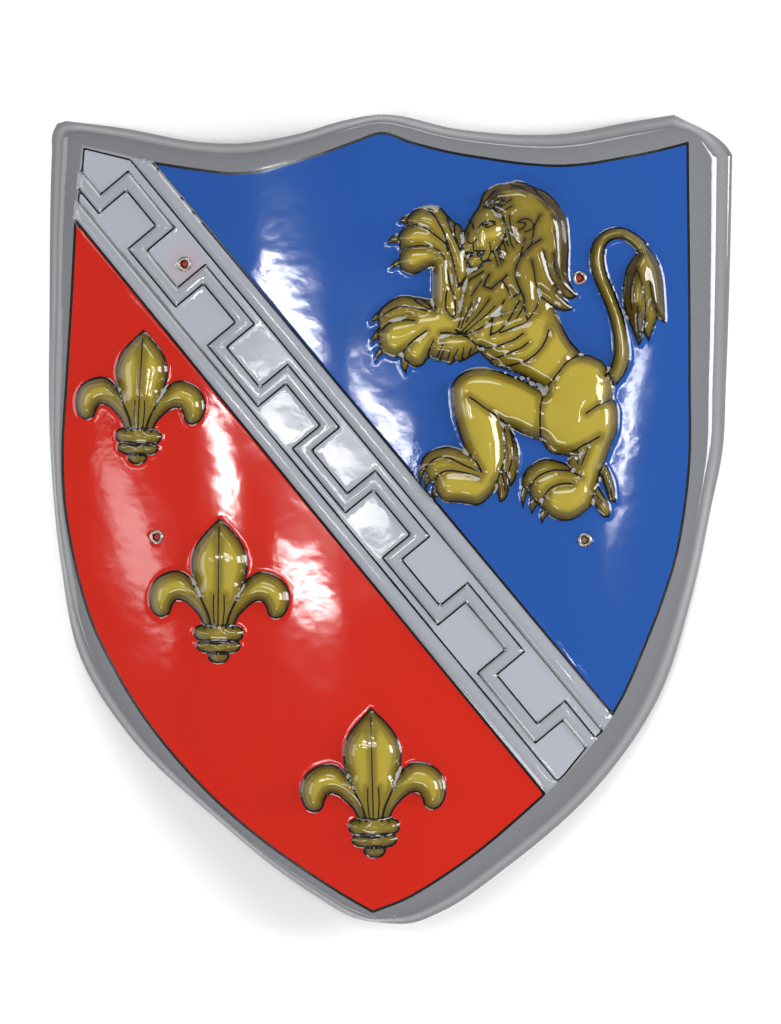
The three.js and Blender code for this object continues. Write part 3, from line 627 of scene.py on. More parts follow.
def tubeSides(spine):
    centre = splineRun(np.array(spine)[:, :2], 2)
    along = np.linspace(0, 1, len(centre))
    widths = np.interp(along, np.linspace(0, 1, len(spine)), np.array(spine)[:, 2])
    heading = np.gradient(centre, axis=0)
    heading /= np.linalg.norm(heading, axis=1)[:, None]
    normal = np.stack([-heading[:, 1], heading[:, 0]], 1)
    return centre + normal * widths[:, None], centre - normal * widths[:, None]


# half widths of the ink, and the steps along its lines
inkSizes = {
    "outline": 0.7,
    "claw": 0.45,
    "muscle": 0.6,
    "hair": 0.46,
    "field": 0.86,
    "band": 0.62,
    "step": 1.0,
    "sample": 0.4,
    "probe": 0.8,  # how far outside an edge a neighbour is looked for
}
grooveSizes = {"muscle": 0.75, "hair": 0.12, "reach": 1.7}

# Each stroke is a line, half the width of its ink, and the depth of its groove.
strokes = []
goldShapes = []


def addStroke(points, halfWidth, groove, corner=48):
    strokes.append((smoothLine(points, inkSizes["step"], corner), halfWidth, groove))


def addShape(edge, hidden, ink="outline", corner=48):
    path = smoothLine(edge, inkSizes["step"], corner)
    strokes.append((path, inkSizes[ink], 0))
    goldShapes.append(np.vstack([path, *[np.reshape(p, (1, 2)) for p in hidden]]))


for edge, hidden in lionSilhouettes.values():
    addShape(onLion(edge), onLion(hidden))
for claw in lionClaws:
    addShape(onLion(clawEdge(*claw)), [], "claw")
leftSide, rightSide = tubeSides(tailSpine)
for side in (leftSide, rightSide):
    strokes.append((evenSteps(onLion(side), inkSizes["step"]), inkSizes["outline"], 0))
goldShapes.append(onLion(np.vstack([leftSide, rightSide[::-1]])))
for line in muscleLines:
    addStroke(onLion(line), inkSizes["muscle"], grooveSizes["muscle"])
for line in hairLines:
    addStroke(onLion(line), inkSizes["hair"], grooveSizes["hair"])
for place in fleurSizes["places"]:
    for shape, hidden in fleurShapes():
        root = putFleur(hidden, *place) if hidden else []
        addShape(putFleur(shape, *place), root, "outline", 64)
    for line in fleurLines:
        addStroke(putFleur(line, *place), inkSizes["hair"], grooveSizes["hair"])
for outline in (blueOutline, redOutline):
    addStroke(closed(outline), inkSizes["field"], 0)
for line in bandInk():
    addStroke(line, inkSizes["band"], 0, 20)

patches = [evenSteps(onLion(closed(patch)), 0.8) for patch in darkPatches]
bluePrint = smoothLine(closed(blueOutline), inkSizes["step"])[:-1]
redPrint = smoothLine(closed(redOutline), inkSizes["step"])[:-1]


def silhouetteSamples():
    # the parts of the gold shapes' edges that don't lie inside another gold shape
    samples = []
    for k, shape in enumerate(goldShapes):
        edge = evenSteps(loopOf(shape), inkSizes["sample"])[:-1]
        ahead, behind = np.roll(edge, -1, axis=0), np.roll(edge, 1, axis=0)
        outward = (ahead - behind)[:, ::-1] * np.array([1, -1])
        outward /= np.maximum(np.linalg.norm(outward, axis=1)[:, None], 1e-9)
        if np.sum(edge[:, 0] * ahead[:, 1] - ahead[:, 0] * edge[:, 1]) < 0:
            outward = -outward
        others = [other for j, other in enumerate(goldShapes) if j != k]
        near = [o for o in others if (o.min(0) < edge.max(0)).all() and (o.max(0) > edge.min(0)).all()]
        samples.append(edge[~insideAny(edge + inkSizes["probe"] * outward, near)])
    return np.vstack(samples)


silhouette = Nearest(silhouetteSamples())
inkSamples = [(evenSteps(line, inkSizes["sample"]), half, groove) for line, half, groove in strokes]
inkNearest = Nearest(np.vstack([s for s, _, _ in inkSamples]))
inkHalf = np.concatenate([np.full(len(s), half) for s, half, _ in inkSamples])
inkGroove = np.concatenate([np.full(len(s), groove) for s, _, groove in inkSamples])


def lionSpine(name):
    return np.array(lionSpines[name]) - np.array([0, lionDrop, 0])


def allSpines():
    spines = [(lionSpine(name), lionRelief) for name in lionSpines]
    for x, y, lean, size in fleurSizes["places"]:
        parts = [fleurSizes[key] for key in ("petal", "horn", "collar", "lowerCollar", "finial")]
        for spine in [*parts, mirrored(fleurSizes["horn"])]:
            placed = putFleur(spine, x, y, lean, size)
            widths = np.array(spine, float)[:, 2:] * size
            spines.append((np.hstack([placed, widths]), fleurSizes["relief"]))
    return spines


# the spines under the lion's hair, over which the gold is made darker
hairySpines = ["crown", "mane", "nape", "tuft", "tuftSide", "ruff"]
reliefSizes = {
    "swellWidth": 6,  # the width at which a swelling has half its full height
    "foot": 1.6,
    "rise": 8.4,
    "edgeHeight": 3,
    "swell": 0.9,
    "blend": 0.9,
    "fullness": 1.3,
    "reach": 24,
}


def swelling(places, spine, relief):
    # the rounded height over one tapering spine
    best = np.zeros(len(places))
    for a, b in zip(spine, spine[1:]):
        run = b[:2] - a[:2]
        share = np.clip(((places - a[:2]) @ run) / (run @ run), 0, 1)
        away = np.linalg.norm(places - a[:2] - share[:, None] * run, axis=1)
        width = a[2] + (b[2] - a[2]) * share
        high = relief * width / (width + reliefSizes["swellWidth"])
        best = np.maximum(best, high * np.sqrt(np.clip(1 - (away / width) ** 2, 0, None)))
    return best


def chargeRelief(places, inGold):
    # the swellings joined softly, falling to the sheet round the edge of the gold
    near = inGold > -reliefSizes["foot"]
    height = np.zeros(len(places))
    chosen = places[near]
    total = np.zeros(len(chosen))
    for spine, relief in allSpines():
        low = spine[:, :2].min(0) - reliefSizes["reach"]
        high = spine[:, :2].max(0) + reliefSizes["reach"]
        close = ((chosen > low) & (chosen < high)).all(1)
        one = swelling(chosen[close], spine, relief)
        total[close] += np.exp(one / reliefSizes["blend"]) - 1
    swell = reliefSizes["blend"] * np.log1p(total)
    share = np.clip((inGold[near] + reliefSizes["foot"]) / reliefSizes["rise"], 0, 1)
    puff = np.sin(math.pi / 2 * share ** reliefSizes["fullness"])
    height[near] = puff * (reliefSizes["edgeHeight"] + reliefSizes["swell"] * swell)
    return height


pointSizes = {
    "field": 4.2,  # spacings of the points in each area
    "border": 4,
    "panel": 2.4,
    "aroundGold": 2.2,
    "gold": 1.05,
    "back": 4,
    "rimRun": 1,
    "borderRows": np.linspace(0.07, 0.97, 14),  # shares of the way from the rim to the field
    "insideRows": [1.1, 2.3, 3.9],  # distances inside the edge of the field
    "rowStep": 2,
    "railRows": [17.6, 21.2, 22.4, 24.8, 27.2, 28.4, 31.4],  # distances from the band's middle
    "railStep": 2.2,
    "fretRows": [-6, -2.9, -1.4, 0, 1.4, 2.9, 6],  # distances from the fret's centre line
    "fretStep": 1.8,
    "bandHalf": 33,
    "panelHalf": 17,
    "fretHalf": 6.5,
    "fineReach": 3.4,  # how far the finest points go past the gold
    "middleReach": 8,
    "openFrom": 7,
    "apart": 0.9,
    "fineApart": 0.5,
}


def linesAsPoints(lines):
    # all lines' points in one list, with the edges that join them
    points, edges, count = [], [], 0
    for line in lines:
        line = np.asarray(line)
        shut = np.linalg.norm(line[0] - line[-1]) < 0.05
        body = line[:-1] if shut else line
        points.append(body)
        ids = list(range(count, count + len(body)))
        edges += list(zip(ids, ids[1:]))
        if shut:
            edges.append((ids[-1], ids[0]))
        count += len(body)
    return np.vstack(points), edges


def holeLoops():
    turns = np.linspace(0, 2 * math.pi, sheetSizes["holeSides"] + 1)
    ring = sheetSizes["holeRadius"] * np.stack([np.cos(turns), np.sin(turns)], 1)
    return [ring + np.array([p.x, p.y]) for p in eyeletPlaces.values()]


def triangulate(lines, loose):
    fixed, edges = linesAsPoints(lines)
    points = np.vstack([fixed, loose])
    made = delaunay_2d_cdt([Vector(p) for p in points], edges, [], 0, 1e-4, True)
    places = np.array([tuple(v) for v in made[0]])
    faces = np.array([f for f in made[2] if len(f) == 3])
    middles = places[faces].mean(1)
    placeOf = {}
    for k, origins in enumerate(made[3]):
        for origin in origins:
            placeOf[origin] = k
    # the rim as the triangles have it, so that thin triangles along it fall on the right side
    rim = places[[placeOf[k] for k in range(len(lines[0]) - 1)]]
    keep = insidePolygon(middles, rim)
    for loop in holeLoops():
        keep &= ~insidePolygon(middles, loop[:-1])
    return places, faces[keep], placeOf


def clearOf(points, fixed, spacing):
    distance, _ = Nearest(fixed).ask(points)
    return points[distance > spacing]


def borderRows():
    # rows of points round the border, from the rim to just inside the edge of the field
    rimRun = evenSteps(loopOf(rimLine), pointSizes["rimRun"])
    fieldRun = fieldNearest.samples[fieldNearest.ask(rimRun)[1]]
    across = fieldRun - rimRun
    inward = across / np.linalg.norm(across, axis=1)[:, None]
    rows = [rimRun + across * share for share in pointSizes["borderRows"]]
    rows += [fieldRun + inward * distance for distance in pointSizes["insideRows"]]
    return np.vstack([evenSteps(row, pointSizes["rowStep"]) for row in rows])


def looseFacePoints(fixed):
    low, high = rimLine.min(0), rimLine.max(0)
    sizes = pointSizes
    wide = hexGrid(low, high, sizes["field"])
    share, _ = borderShare(wide)
    toGold, _ = silhouette.ask(wide)
    beyondBand = np.abs(bandPlaces(wide)[:, 1]) > sizes["bandHalf"]
    openField = (share > 1.05) & (toGold > sizes["openFrom"]) & beyondBand
    sets = [wide[openField & ~insideAny(wide, goldShapes)]]
    rows = borderRows()
    border = hexGrid(low, high, sizes["border"])
    share, _ = borderShare(border)
    border = border[(share < 1.05) & insidePolygon(border, rimLine)]
    sets += [rows, clearOf(border, rows, 2.2)]
    along = np.arange(-30, bandSizes["length"] + 12, sizes["railStep"])
    for row in [*sizes["railRows"], *[-r for r in sizes["railRows"]]]:
        sets.append(onBand(np.stack([along, np.full(len(along), row)], 1)))
    for distance in sizes["fretRows"]:
        sets.append(evenSteps(onBand(offsetLine(fretLine(), distance)), sizes["fretStep"]))
    panel = hexGrid(low, high, sizes["panel"])
    share, _ = borderShare(panel)
    inBand = np.abs(bandPlaces(panel)[:, 1]) < sizes["panelHalf"]
    sets.append(panel[inBand & (fretDistance(panel) > sizes["fretHalf"]) & (share > 1.02)])
    middle = hexGrid(low, high, sizes["aroundGold"])
    toGold, _ = silhouette.ask(middle)
    around = (toGold > sizes["fineReach"]) & (toGold < sizes["middleReach"])
    sets.append(middle[around & ~insideAny(middle, goldShapes)])
    fine = hexGrid(low, high, sizes["gold"])
    near = np.zeros(len(fine), bool)
    for shape in goldShapes:
        near |= ((fine > shape.min(0) - 5) & (fine < shape.max(0) + 5)).all(1)
    fine = fine[near]
    toGold, _ = silhouette.ask(fine)
    fine = fine[insideAny(fine, goldShapes) | (toGold < sizes["fineReach"])]
    coarse = np.vstack(sets)
    coarse = coarse[insidePolygon(coarse, rimLine)]
    coarse = clearOf(coarse, np.vstack([fixed, fine]), sizes["apart"])
    return np.vstack([clearOf(fine, fixed, sizes["fineApart"]), coarse])


def evened(height, faces, rounds):
    # the heights evened out over neighbouring vertices
    sides = np.vstack([faces[:, [0, 1]], faces[:, [1, 2]], faces[:, [2, 0]]])
    sides = np.unique(np.sort(sides, axis=1), axis=0)
    number = np.bincount(sides.ravel(), minlength=len(height))
    for _ in range(rounds):
        total = np.bincount(sides[:, 0], height[sides[:, 1]], len(height))
        total += np.bincount(sides[:, 1], height[sides[:, 0]], len(height))
        height = 0.5 * height + 0.5 * total / np.maximum(number, 1)
    return height


def faceHeight(places, behind=False):
    # the height of the face over each place, with what the paint needs to know there
    share, inField = borderShare(places)
    toSilhouette, _ = silhouette.ask(places)
    inGold = np.where(insideAny(places, goldShapes), toSilhouette, -toSilhouette)
    toInk, which = inkNearest.ask(places)
    raised = chargeRelief(places, inGold)
    hairy = [swelling(places, lionSpine(name), 1) for name in hairySpines]
    groove = inkGroove[which] * np.exp(-((toInk / grooveSizes["reach"]) ** 2)) * (raised > 1.5)
    sheet = sheetHeight(places, share)
    if behind:
        sheet = np.minimum(sheet, sheetHeight(places, share - sheetSizes["wallShift"])) - sheetSizes["wall"]
    return sheet + bandRelief(places, inField), {
        "share": share,
        "inGold": inGold,
        "ink": toInk - inkHalf[which],
        "raised": raised - groove,
        "hairy": np.maximum.reduce(hairy),
    }


def signedInside(places, polygon, step=0.5):
    away, _ = Nearest(evenSteps(loopOf(polygon), step)[:-1], True).ask(places)
    return np.where(insidePolygon(places, polygon), away, -away)


def addFloats(mesh, name, values):
    mesh.attributes.new(name, "FLOAT", "POINT").data.foreach_set("value", np.asarray(values, np.float32))


def meshFrom(name, vertices, faces):
    mesh = bpy.data.meshes.new(name)
    mesh.from_pydata([tuple(v) for v in np.asarray(vertices) * toMetres], [], faces)
    mesh.update()
    thing = bpy.data.objects.new(name, mesh)
    bpy.context.scene.collection.objects.link(thing)
    for polygon in mesh.polygons:
        polygon.use_smooth = True
    return thing


def makeShell():
    loops = [loopOf(rimLine), *holeLoops()]
    faceLines = [*loops, *[line for line, _, _ in strokes], *patches]
    fixed, _ = linesAsPoints(faceLines)
    places, faces, placeOf = triangulate(faceLines, looseFacePoints(fixed))
    height, marks = faceHeight(places)
    height = height + evened(marks["raised"], faces, 2)
    print("face", len(places), "vertices", len(faces), "triangles")

    loopPoints, _ = linesAsPoints(loops)
    rows = borderRows()
    backLoose = hexGrid(rimLine.min(0), rimLine.max(0), pointSizes["back"])
    backLoose = clearOf(backLoose[insidePolygon(backLoose, rimLine)], rows, 2)
    backLoose = clearOf(np.vstack([rows, backLoose]), loopPoints, pointSizes["apart"])
    backPlaces, backFaces, backOf = triangulate(loops, backLoose)
    backHeight, backMarks = faceHeight(backPlaces, True)
    backHeight = backHeight + evened(backMarks["raised"], backFaces, 1)
    print("back", len(backPlaces), "vertices", len(backFaces), "triangles")

    front = np.column_stack([places, height])
    back = np.column_stack([backPlaces, backHeight])
    count, rimCount = len(front), len(loopPoints)
    # the cut edges: a row of vertices half way down, pushed outwards a little
    edgeRow = np.array([(front[placeOf[k]] + back[backOf[k]]) / 2 for k in range(rimCount)])
    start = count + len(back)
    triangles = [tuple(int(i) for i in f) for f in faces]
    triangles += [tuple(int(i) + count for i in f[::-1]) for f in backFaces]
    first = 0
    for number, loop in enumerate(loops):
        size = len(loop) - 1
        ids = list(range(first, first + size))
        middle = edgeRow[first : first + size]
        heading = np.roll(middle[:, :2], -1, axis=0) - np.roll(middle[:, :2], 1, axis=0)
        heading /= np.linalg.norm(heading, axis=1)[:, None]
        area = np.sum(middle[:, 0] * np.roll(middle[:, 1], -1) - np.roll(middle[:, 0], -1) * middle[:, 1])
        outward = np.stack([heading[:, 1], -heading[:, 0]], 1) * (1 if area > 0 else -1)
        outward *= 1 if number == 0 else -1
        edgeRow[first : first + size, :2] += outward * sheetSizes["edgeBulge"]
        for a, b in zip(ids, ids[1:] + ids[:1]):
            rows = [(placeOf[a], placeOf[b]), (start + a, start + b), (count + backOf[a], count + backOf[b])]
            for (p, q), (r, s) in zip(rows, rows[1:]):
                quad = (p, r, s, q)
                triangles.append(quad if (area > 0) == (number == 0) else quad[::-1])
        first += size
    shell = meshFrom("printed_shell", np.vstack([front, back, edgeRow]), triangles)
    mesh = shell.data
    spare = len(back) + rimCount
    hidden = -5 * np.ones(spare)
    panel = np.minimum(signedInside(places, panelArea()), fretDistance(places) - bandSizes["fretHalf"])
    inkFill = np.minimum.reduce([marks["ink"], *[-signedInside(places, p[:-1], 0.3) for p in patches]])
    addFloats(mesh, "ink", np.concatenate([inkFill, 9 * np.ones(spare)]))
    addFloats(mesh, "inGold", np.concatenate([marks["inGold"], hidden]))
    addFloats(mesh, "inBlue", np.concatenate([signedInside(places, bluePrint), hidden]))
    addFloats(mesh, "inRed", np.concatenate([signedInside(places, redPrint), hidden]))
    addFloats(mesh, "inPanel", np.concatenate([panel, hidden]))
    addFloats(mesh, "raised", np.concatenate([marks["raised"], np.zeros(spare)]))
    addFloats(mesh, "hairy", np.concatenate([marks["hairy"], np.zeros(spare)]))
    stained = np.linalg.norm(places - eyeletPlaces["arm_upper_eyelet"][:2], axis=1)
    addFloats(mesh, "fromStain", np.concatenate([stained, 99 * np.ones(spare)]))
    addFloats(mesh, "borderShare", np.concatenate([marks["share"], np.zeros(spare)]))
    addFloats(mesh, "printed", np.concatenate([np.ones(count), np.zeros(spare)]))
    return shell


shell = makeShell()
print("shell made", len(shell.data.polygons), "faces")


class Wire:
    # one output socket, on which sums and products add Math nodes
    def __init__(self, paint, socket):
        self.paint = paint
        self.socket = socket

    def math(self, operation, *values):
        return self.paint.node("ShaderNodeMath", {"operation": operation}, dict(enumerate(values)))

    def __add__(self, other):
        return self.math("ADD", self, other)

    def __radd__(self, other):
        return self.math("ADD", other, self)

    def __sub__(self, other):
        return self.math("SUBTRACT", self, other)

    def __rsub__(self, other):
        return self.math("SUBTRACT", other, self)

    def __mul__(self, other):
        return self.math("MULTIPLY", self, other)

    def __rmul__(self, other):
        return self.math("MULTIPLY", other, self)

    def __truediv__(self, other):
        return self.math("DIVIDE", self, other)

    def __rtruediv__(self, other):
        return self.math("DIVIDE", other, self)

    def ramp(self, low, high):
        # 0 at low and 1 at high, clamped
        settings = {"clamp": True, "interpolation_type": "SMOOTHSTEP"}
        sockets = {"Value": self, "From Min": low, "From Max": high}
        return self.paint.node("ShaderNodeMapRange", settings, sockets)


class Graph:
    def __init__(self, tree):
        self.tree = tree
        self.tree.nodes.clear()

    def node(self, kind, settings=None, sockets=None, output=0):
        made = self.tree.nodes.new(kind)
        for key, value in (settings or {}).items():
            setattr(made, key, value)
        for key, value in (sockets or {}).items():
            if isinstance(key, int):
                socket = made.inputs[key]
            else:
                socket = next(s for s in made.inputs if s.enabled and key in (s.identifier, s.name))
            if isinstance(value, Wire):
                self.tree.links.new(value.socket, socket)
            elif isinstance(value, list):
                for wire in value:
                    self.tree.links.new(wire.socket, socket)
            else:
                socket.default_value = value
        if output is None:
            return None
        outputs = [s for s in made.outputs if s.enabled]
        return Wire(self, outputs[output] if isinstance(output, int) else made.outputs[output])


class Paint(Graph):
    def __init__(self, name):
        self.material = bpy.data.materials.new(name)
        self.material.use_nodes = True
        super().__init__(self.material.node_tree)

    def attribute(self, name):
        return self.node("ShaderNodeAttribute", {"attribute_name": name}, {}, "Fac")

    def mix(self, factor, first, second):
        def asColour(value):
            return value if isinstance(value, Wire) else (*value, 1)

        sockets = {"Factor_Float": factor, "A_Color": asColour(first), "B_Color": asColour(second)}
        return self.node("ShaderNodeMix", {"data_type": "RGBA"}, sockets)

    def noise(self, vector, scale, detail=2, roughness=0.5, output=0):
        sockets = {"Vector": vector, "Scale": scale, "Detail": detail, "Roughness": roughness}
        return self.node("ShaderNodeTexNoise", {}, sockets, output)

    def objectPlace(self):
        return self.node("ShaderNodeTexCoord", {}, {}, "Object")

    def bump(self, height, distance, strength=1.0, normal=None):
        sockets = {"Height": height, "Distance": distance, "Strength": strength}
        if normal is not None:
            sockets["Normal"] = normal
        return self.node("ShaderNodeBump", {}, sockets)

    def finish(self, sockets):
        surface = self.node("ShaderNodeBsdfPrincipled", {}, sockets)
        self.node("ShaderNodeOutputMaterial", {}, {"Surface": surface}, None)
        return self.material


def linear(red, green, blue):
    # a colour given in display values, as the shader wants it
    def one(value):
        value /= 255
        return value / 12.92 if value <= 0.04045 else ((value + 0.055) / 1.055) ** 2.4

    return (one(red), one(green), one(blue))


printColours = {
    "red": linear(176, 26, 8),
    "blue": linear(25, 69, 139),
    "silver": linear(106, 107, 111),
    "bandSilver": linear(139, 142, 149),
    "panel": linear(151, 154, 163),
    "goldDark": linear(66, 54, 16),
    "goldBase": linear(114, 99, 33),
    "goldLight": linear(152, 136, 48),
    "stain": linear(170, 110, 122),
    "ink": linear(8, 8, 10),
    "back": linear(150, 150, 149),
}


def printedPlastic():
    paint = Paint("printed_plastic")
    place = paint.objectPlace()
    ink = paint.attribute("ink")
    gold = paint.attribute("inGold")
    raised = paint.attribute("raised")
    share = paint.attribute("borderShare")
    printed = paint.attribute("printed")
    soft = paint.noise(place, 14, 3)
    grain = paint.noise(place, 900, 2)

    # gold, dark in the creases and round the edge, darker over the lion's hair and light on the high places:
    # partly the print's airbrushing, partly painted shade in the creases and at the edge and a painted
    # highlight on the high places
    depth = (ink + 0.2).ramp(0.0, 6.5) * 0.62 + gold.ramp(0.0, 13.0) * 0.35 + raised.ramp(3.0, 10.5) * 0.25
    depth = depth + (soft - 0.5) * 0.3 - paint.attribute("hairy") * 0.85
    goldColour = paint.mix(depth.ramp(-0.12, 0.36), printColours["goldDark"], printColours["goldBase"])
    goldColour = paint.mix(depth.ramp(0.5, 1.05), goldColour, printColours["goldLight"])

    # painted shade: the band's silver is darker beside its ink lines, along the steps of its relief
    inkSideShade = (ink + 0.1).ramp(0.0, 1.6) * 0.35 + 0.65
    # painted shade: the silver is darker towards the rim, where the border turns away from the light
    shadedRimSilver = tuple(c * 0.82 for c in printColours["silver"])
    silver = paint.mix(share.ramp(0.0, 0.9), shadedRimSilver, printColours["silver"])
    silver = paint.mix((grain - 0.5).ramp(-0.3, 0.5) * 0.12, silver, printColours["panel"])
    silver = paint.mix(share.ramp(0.94, 1.0) * inkSideShade, silver, printColours["bandSilver"])
    colour = paint.mix(paint.attribute("inPanel").ramp(-0.03, 0.03), silver, printColours["panel"])
    stain = (1 - paint.attribute("fromStain").ramp(4.0, 15.0)) * soft * 0.5
    colour = paint.mix(stain, colour, printColours["stain"])
    colour = paint.mix(paint.attribute("inBlue").ramp(-0.03, 0.03), colour, printColours["blue"])
    colour = paint.mix(paint.attribute("inRed").ramp(-0.03, 0.03), colour, printColours["red"])
    colour = paint.mix(gold.ramp(-0.03, 0.03), colour, goldColour)
    broken = ink + (paint.noise(place, 420, 2) - 0.5) * 0.2
    colour = paint.mix(1 - broken.ramp(-0.12, 0.12), colour, printColours["ink"])
    colour = paint.mix(printed, printColours["back"], colour)

    roughness = 0.07 + (soft - 0.5) * 0.06 + (1 - printed) * 0.35 + (1 - ink.ramp(-0.1, 0.3)) * 0.1
    waves = paint.noise(place, 24, 0) * 0.6 + paint.noise(place, 70, 1) * 0.25
    waves = waves + paint.noise(place, 190, 1) * 0.05
    surface = paint.bump(waves, 0.00032, 1.0)
    surface = paint.bump(paint.noise(place, 300, 2), 0.000012, 0.8, surface)
    return paint.finish({"Base Color": colour, "Roughness": roughness, "Normal": surface, "IOR": 1.5})


shell.data.materials.append(printedPlastic())
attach(shell, "root")
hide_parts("shell")
print("shell painted")


eyeletSizes = {
    "rollPath": 3.3,
    "roll": 0.95,
    "bore": 2.45,
    "barrel": 3.0,
    "barrelLength": 2.7,
    "front": 0.25,
    "behind": -1.75,
}


class Shaper(Graph):
    # a Geometry Nodes tree with named inputs, run once and turned into a plain mesh
    def __init__(self, name, inputs):
        tree = bpy.data.node_groups.new(name, "GeometryNodeTree")
        tree.interface.new_socket("Geometry", in_out="OUTPUT", socket_type="NodeSocketGeometry")
        tree.interface.new_socket("Geometry", in_out="INPUT", socket_type="NodeSocketGeometry")
        super().__init__(tree)
        self.values = {}
        for key, value in inputs.items():
            kind = "NodeSocketInt" if isinstance(value, int) else "NodeSocketFloat"
            socket = tree.interface.new_socket(key, in_out="INPUT", socket_type=kind)
            self.values[socket.identifier] = value
        self.entry = tree.nodes.new("NodeGroupInput")

    def given(self, name):
        return Wire(self, self.entry.outputs[name])

    def run(self, thing, geometry, material):
        geometry = self.node("GeometryNodeRealizeInstances", {}, {"Geometry": geometry})
        geometry = self.node("GeometryNodeSetShadeSmooth", {}, {"Geometry": geometry})
        geometry = self.node("GeometryNodeSetMaterial", {}, {"Geometry": geometry, "Material": material})
        self.node("NodeGroupOutput", {}, {"Geometry": geometry}, None)
        modifier = thing.modifiers.new("shape", "NODES")
        modifier.node_group = self.tree
        for identifier, value in self.values.items():
            modifier[identifier] = value
        made = thing.evaluated_get(bpy.context.evaluated_depsgraph_get())
        mesh = bpy.data.meshes.new_from_object(made)
        thing.modifiers.clear()
        thing.data = mesh


def platedSteel():
    paint = Paint("plated_steel")
    place = paint.objectPlace()
    dull = paint.noise(place, 700, 3)
    colour = paint.mix(dull.ramp(0.35, 0.7), linear(180, 176, 166), linear(120, 114, 104))
    surface = paint.bump(paint.noise(place, 1500, 2), 0.00004, 0.7)
    roughness = 0.2 + dull * 0.25
    return paint.finish({"Base Color": colour, "Metallic": 1.0, "Roughness": roughness, "Normal": surface})


def makeEyelets():
    sizes = {key: value * toMetres for key, value in eyeletSizes.items()}
    names = {"Roll Path": "rollPath", "Roll": "roll", "Bore": "bore", "Barrel": "barrel",
             "Barrel Length": "barrelLength"}
    inputs = {label: sizes[key] for label, key in names.items()}
    inputs.update({"Sides": 40, "Bend Radius": sheetSizes["bendRadius"] * toMetres})
    shaper = Shaper("eyelets", inputs)

    def circle(radius, sides):
        sockets = {"Resolution": sides, "Radius": radius}
        return shaper.node("GeometryNodeCurvePrimitiveCircle", {"mode": "RADIUS"}, sockets)

    def moved(geometry, z, flat=1.0):
        sockets = {"Geometry": geometry, "Translation": (0, 0, z), "Scale": (1, 1, flat)}
        return shaper.node("GeometryNodeTransform", {}, sockets)

    def wall(radius):
        length = shaper.given("Barrel Length")
        sockets = {"Vertices": shaper.given("Sides"), "Radius": radius, "Depth": length}
        return shaper.node("GeometryNodeMeshCylinder", {"fill_type": "NONE"}, sockets)

    path = circle(shaper.given("Roll Path"), shaper.given("Sides"))
    rolled = {"Curve": path, "Profile Curve": circle(shaper.given("Roll"), 14)}
    roll = shaper.node("GeometryNodeCurveToMesh", {}, rolled)
    inner = shaper.node("GeometryNodeFlipFaces", {}, {"Mesh": wall(shaper.given("Bore"))})
    middle = (eyeletSizes["front"] + eyeletSizes["behind"]) / 2 * toMetres
    parts = [
        moved(roll, sizes["front"], 0.75),
        moved(roll, sizes["behind"], 0.6),
        moved(inner, middle),
        moved(wall(shaper.given("Barrel")), middle),
    ]
    eyelet = shaper.node("GeometryNodeJoinGeometry", {}, {"Geometry": parts})
    place = shaper.node("GeometryNodeInputPosition")
    x = shaper.node("ShaderNodeSeparateXYZ", {}, {"Vector": place}, "X")
    lean = x.math("ARCSINE", x / shaper.given("Bend Radius"))
    turn = shaper.node("ShaderNodeCombineXYZ", {}, {"Y": lean})
    points = shaper.node("GeometryNodeMeshToPoints", {}, {"Mesh": shaper.given("Geometry")})
    sockets = {"Points": points, "Instance": eyelet, "Rotation": turn}
    placed = shaper.node("GeometryNodeInstanceOnPoints", {}, sockets)
    spots = [(p[0], p[1], fieldHeight(p[0])) for p in eyeletPlaces.values()]
    eyelets = meshFrom("ring_eyelets", spots, [])
    shaper.run(eyelets, placed, platedSteel())
    return eyelets


eyelets = makeEyelets()
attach(eyelets, "root")
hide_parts(*eyeletPlaces)
print("eyelets made", len(eyelets.data.polygons), "faces")


strapSizes = {
    "width": 25,
    "thick": 2,
    "tab": 12,
    "depth": 19,
    "fall": 0.6,
    "behindFace": 2.4,
    "bead": 0.45,
    "beadAt": 0.86,
    "stud": 2.0,
    "studRise": 1.5,
    "ribPitch": 3.2,
    "ribRadius": 1.35,
    "ribLength": 18,
    "rows": 150,
}


def facePoint(place, depth):
    x = place[0] / sheetSizes["bendRadius"]
    out = np.array([x, 0, math.sqrt(1 - x * x)])
    return np.array([place[0], place[1], fieldHeight(place[0])]) - depth * out


def strapAxes(upper, lower):
    # the strap's own origin, its axes as rows, and the distance between its studs
    depth = strapSizes["behindFace"]
    top, bottom = facePoint(upper, depth), facePoint(lower, depth)
    along = (top - bottom) / np.linalg.norm(top - bottom)
    out = facePoint(upper, 0) + facePoint(lower, 0) - top - bottom
    across = np.cross(along, out)
    across /= np.linalg.norm(across)
    axes = np.array([across, along, np.cross(across, along)])
    return (top + bottom) / 2, axes, np.linalg.norm(top - bottom)


def strapSag(y, span):
    slack = span / 2 - strapSizes["tab"]
    fall = np.clip((1 - np.abs(y) / slack) / strapSizes["fall"], 0, 1)
    return -strapSizes["depth"] * np.sin(math.pi / 2 * fall) ** 2


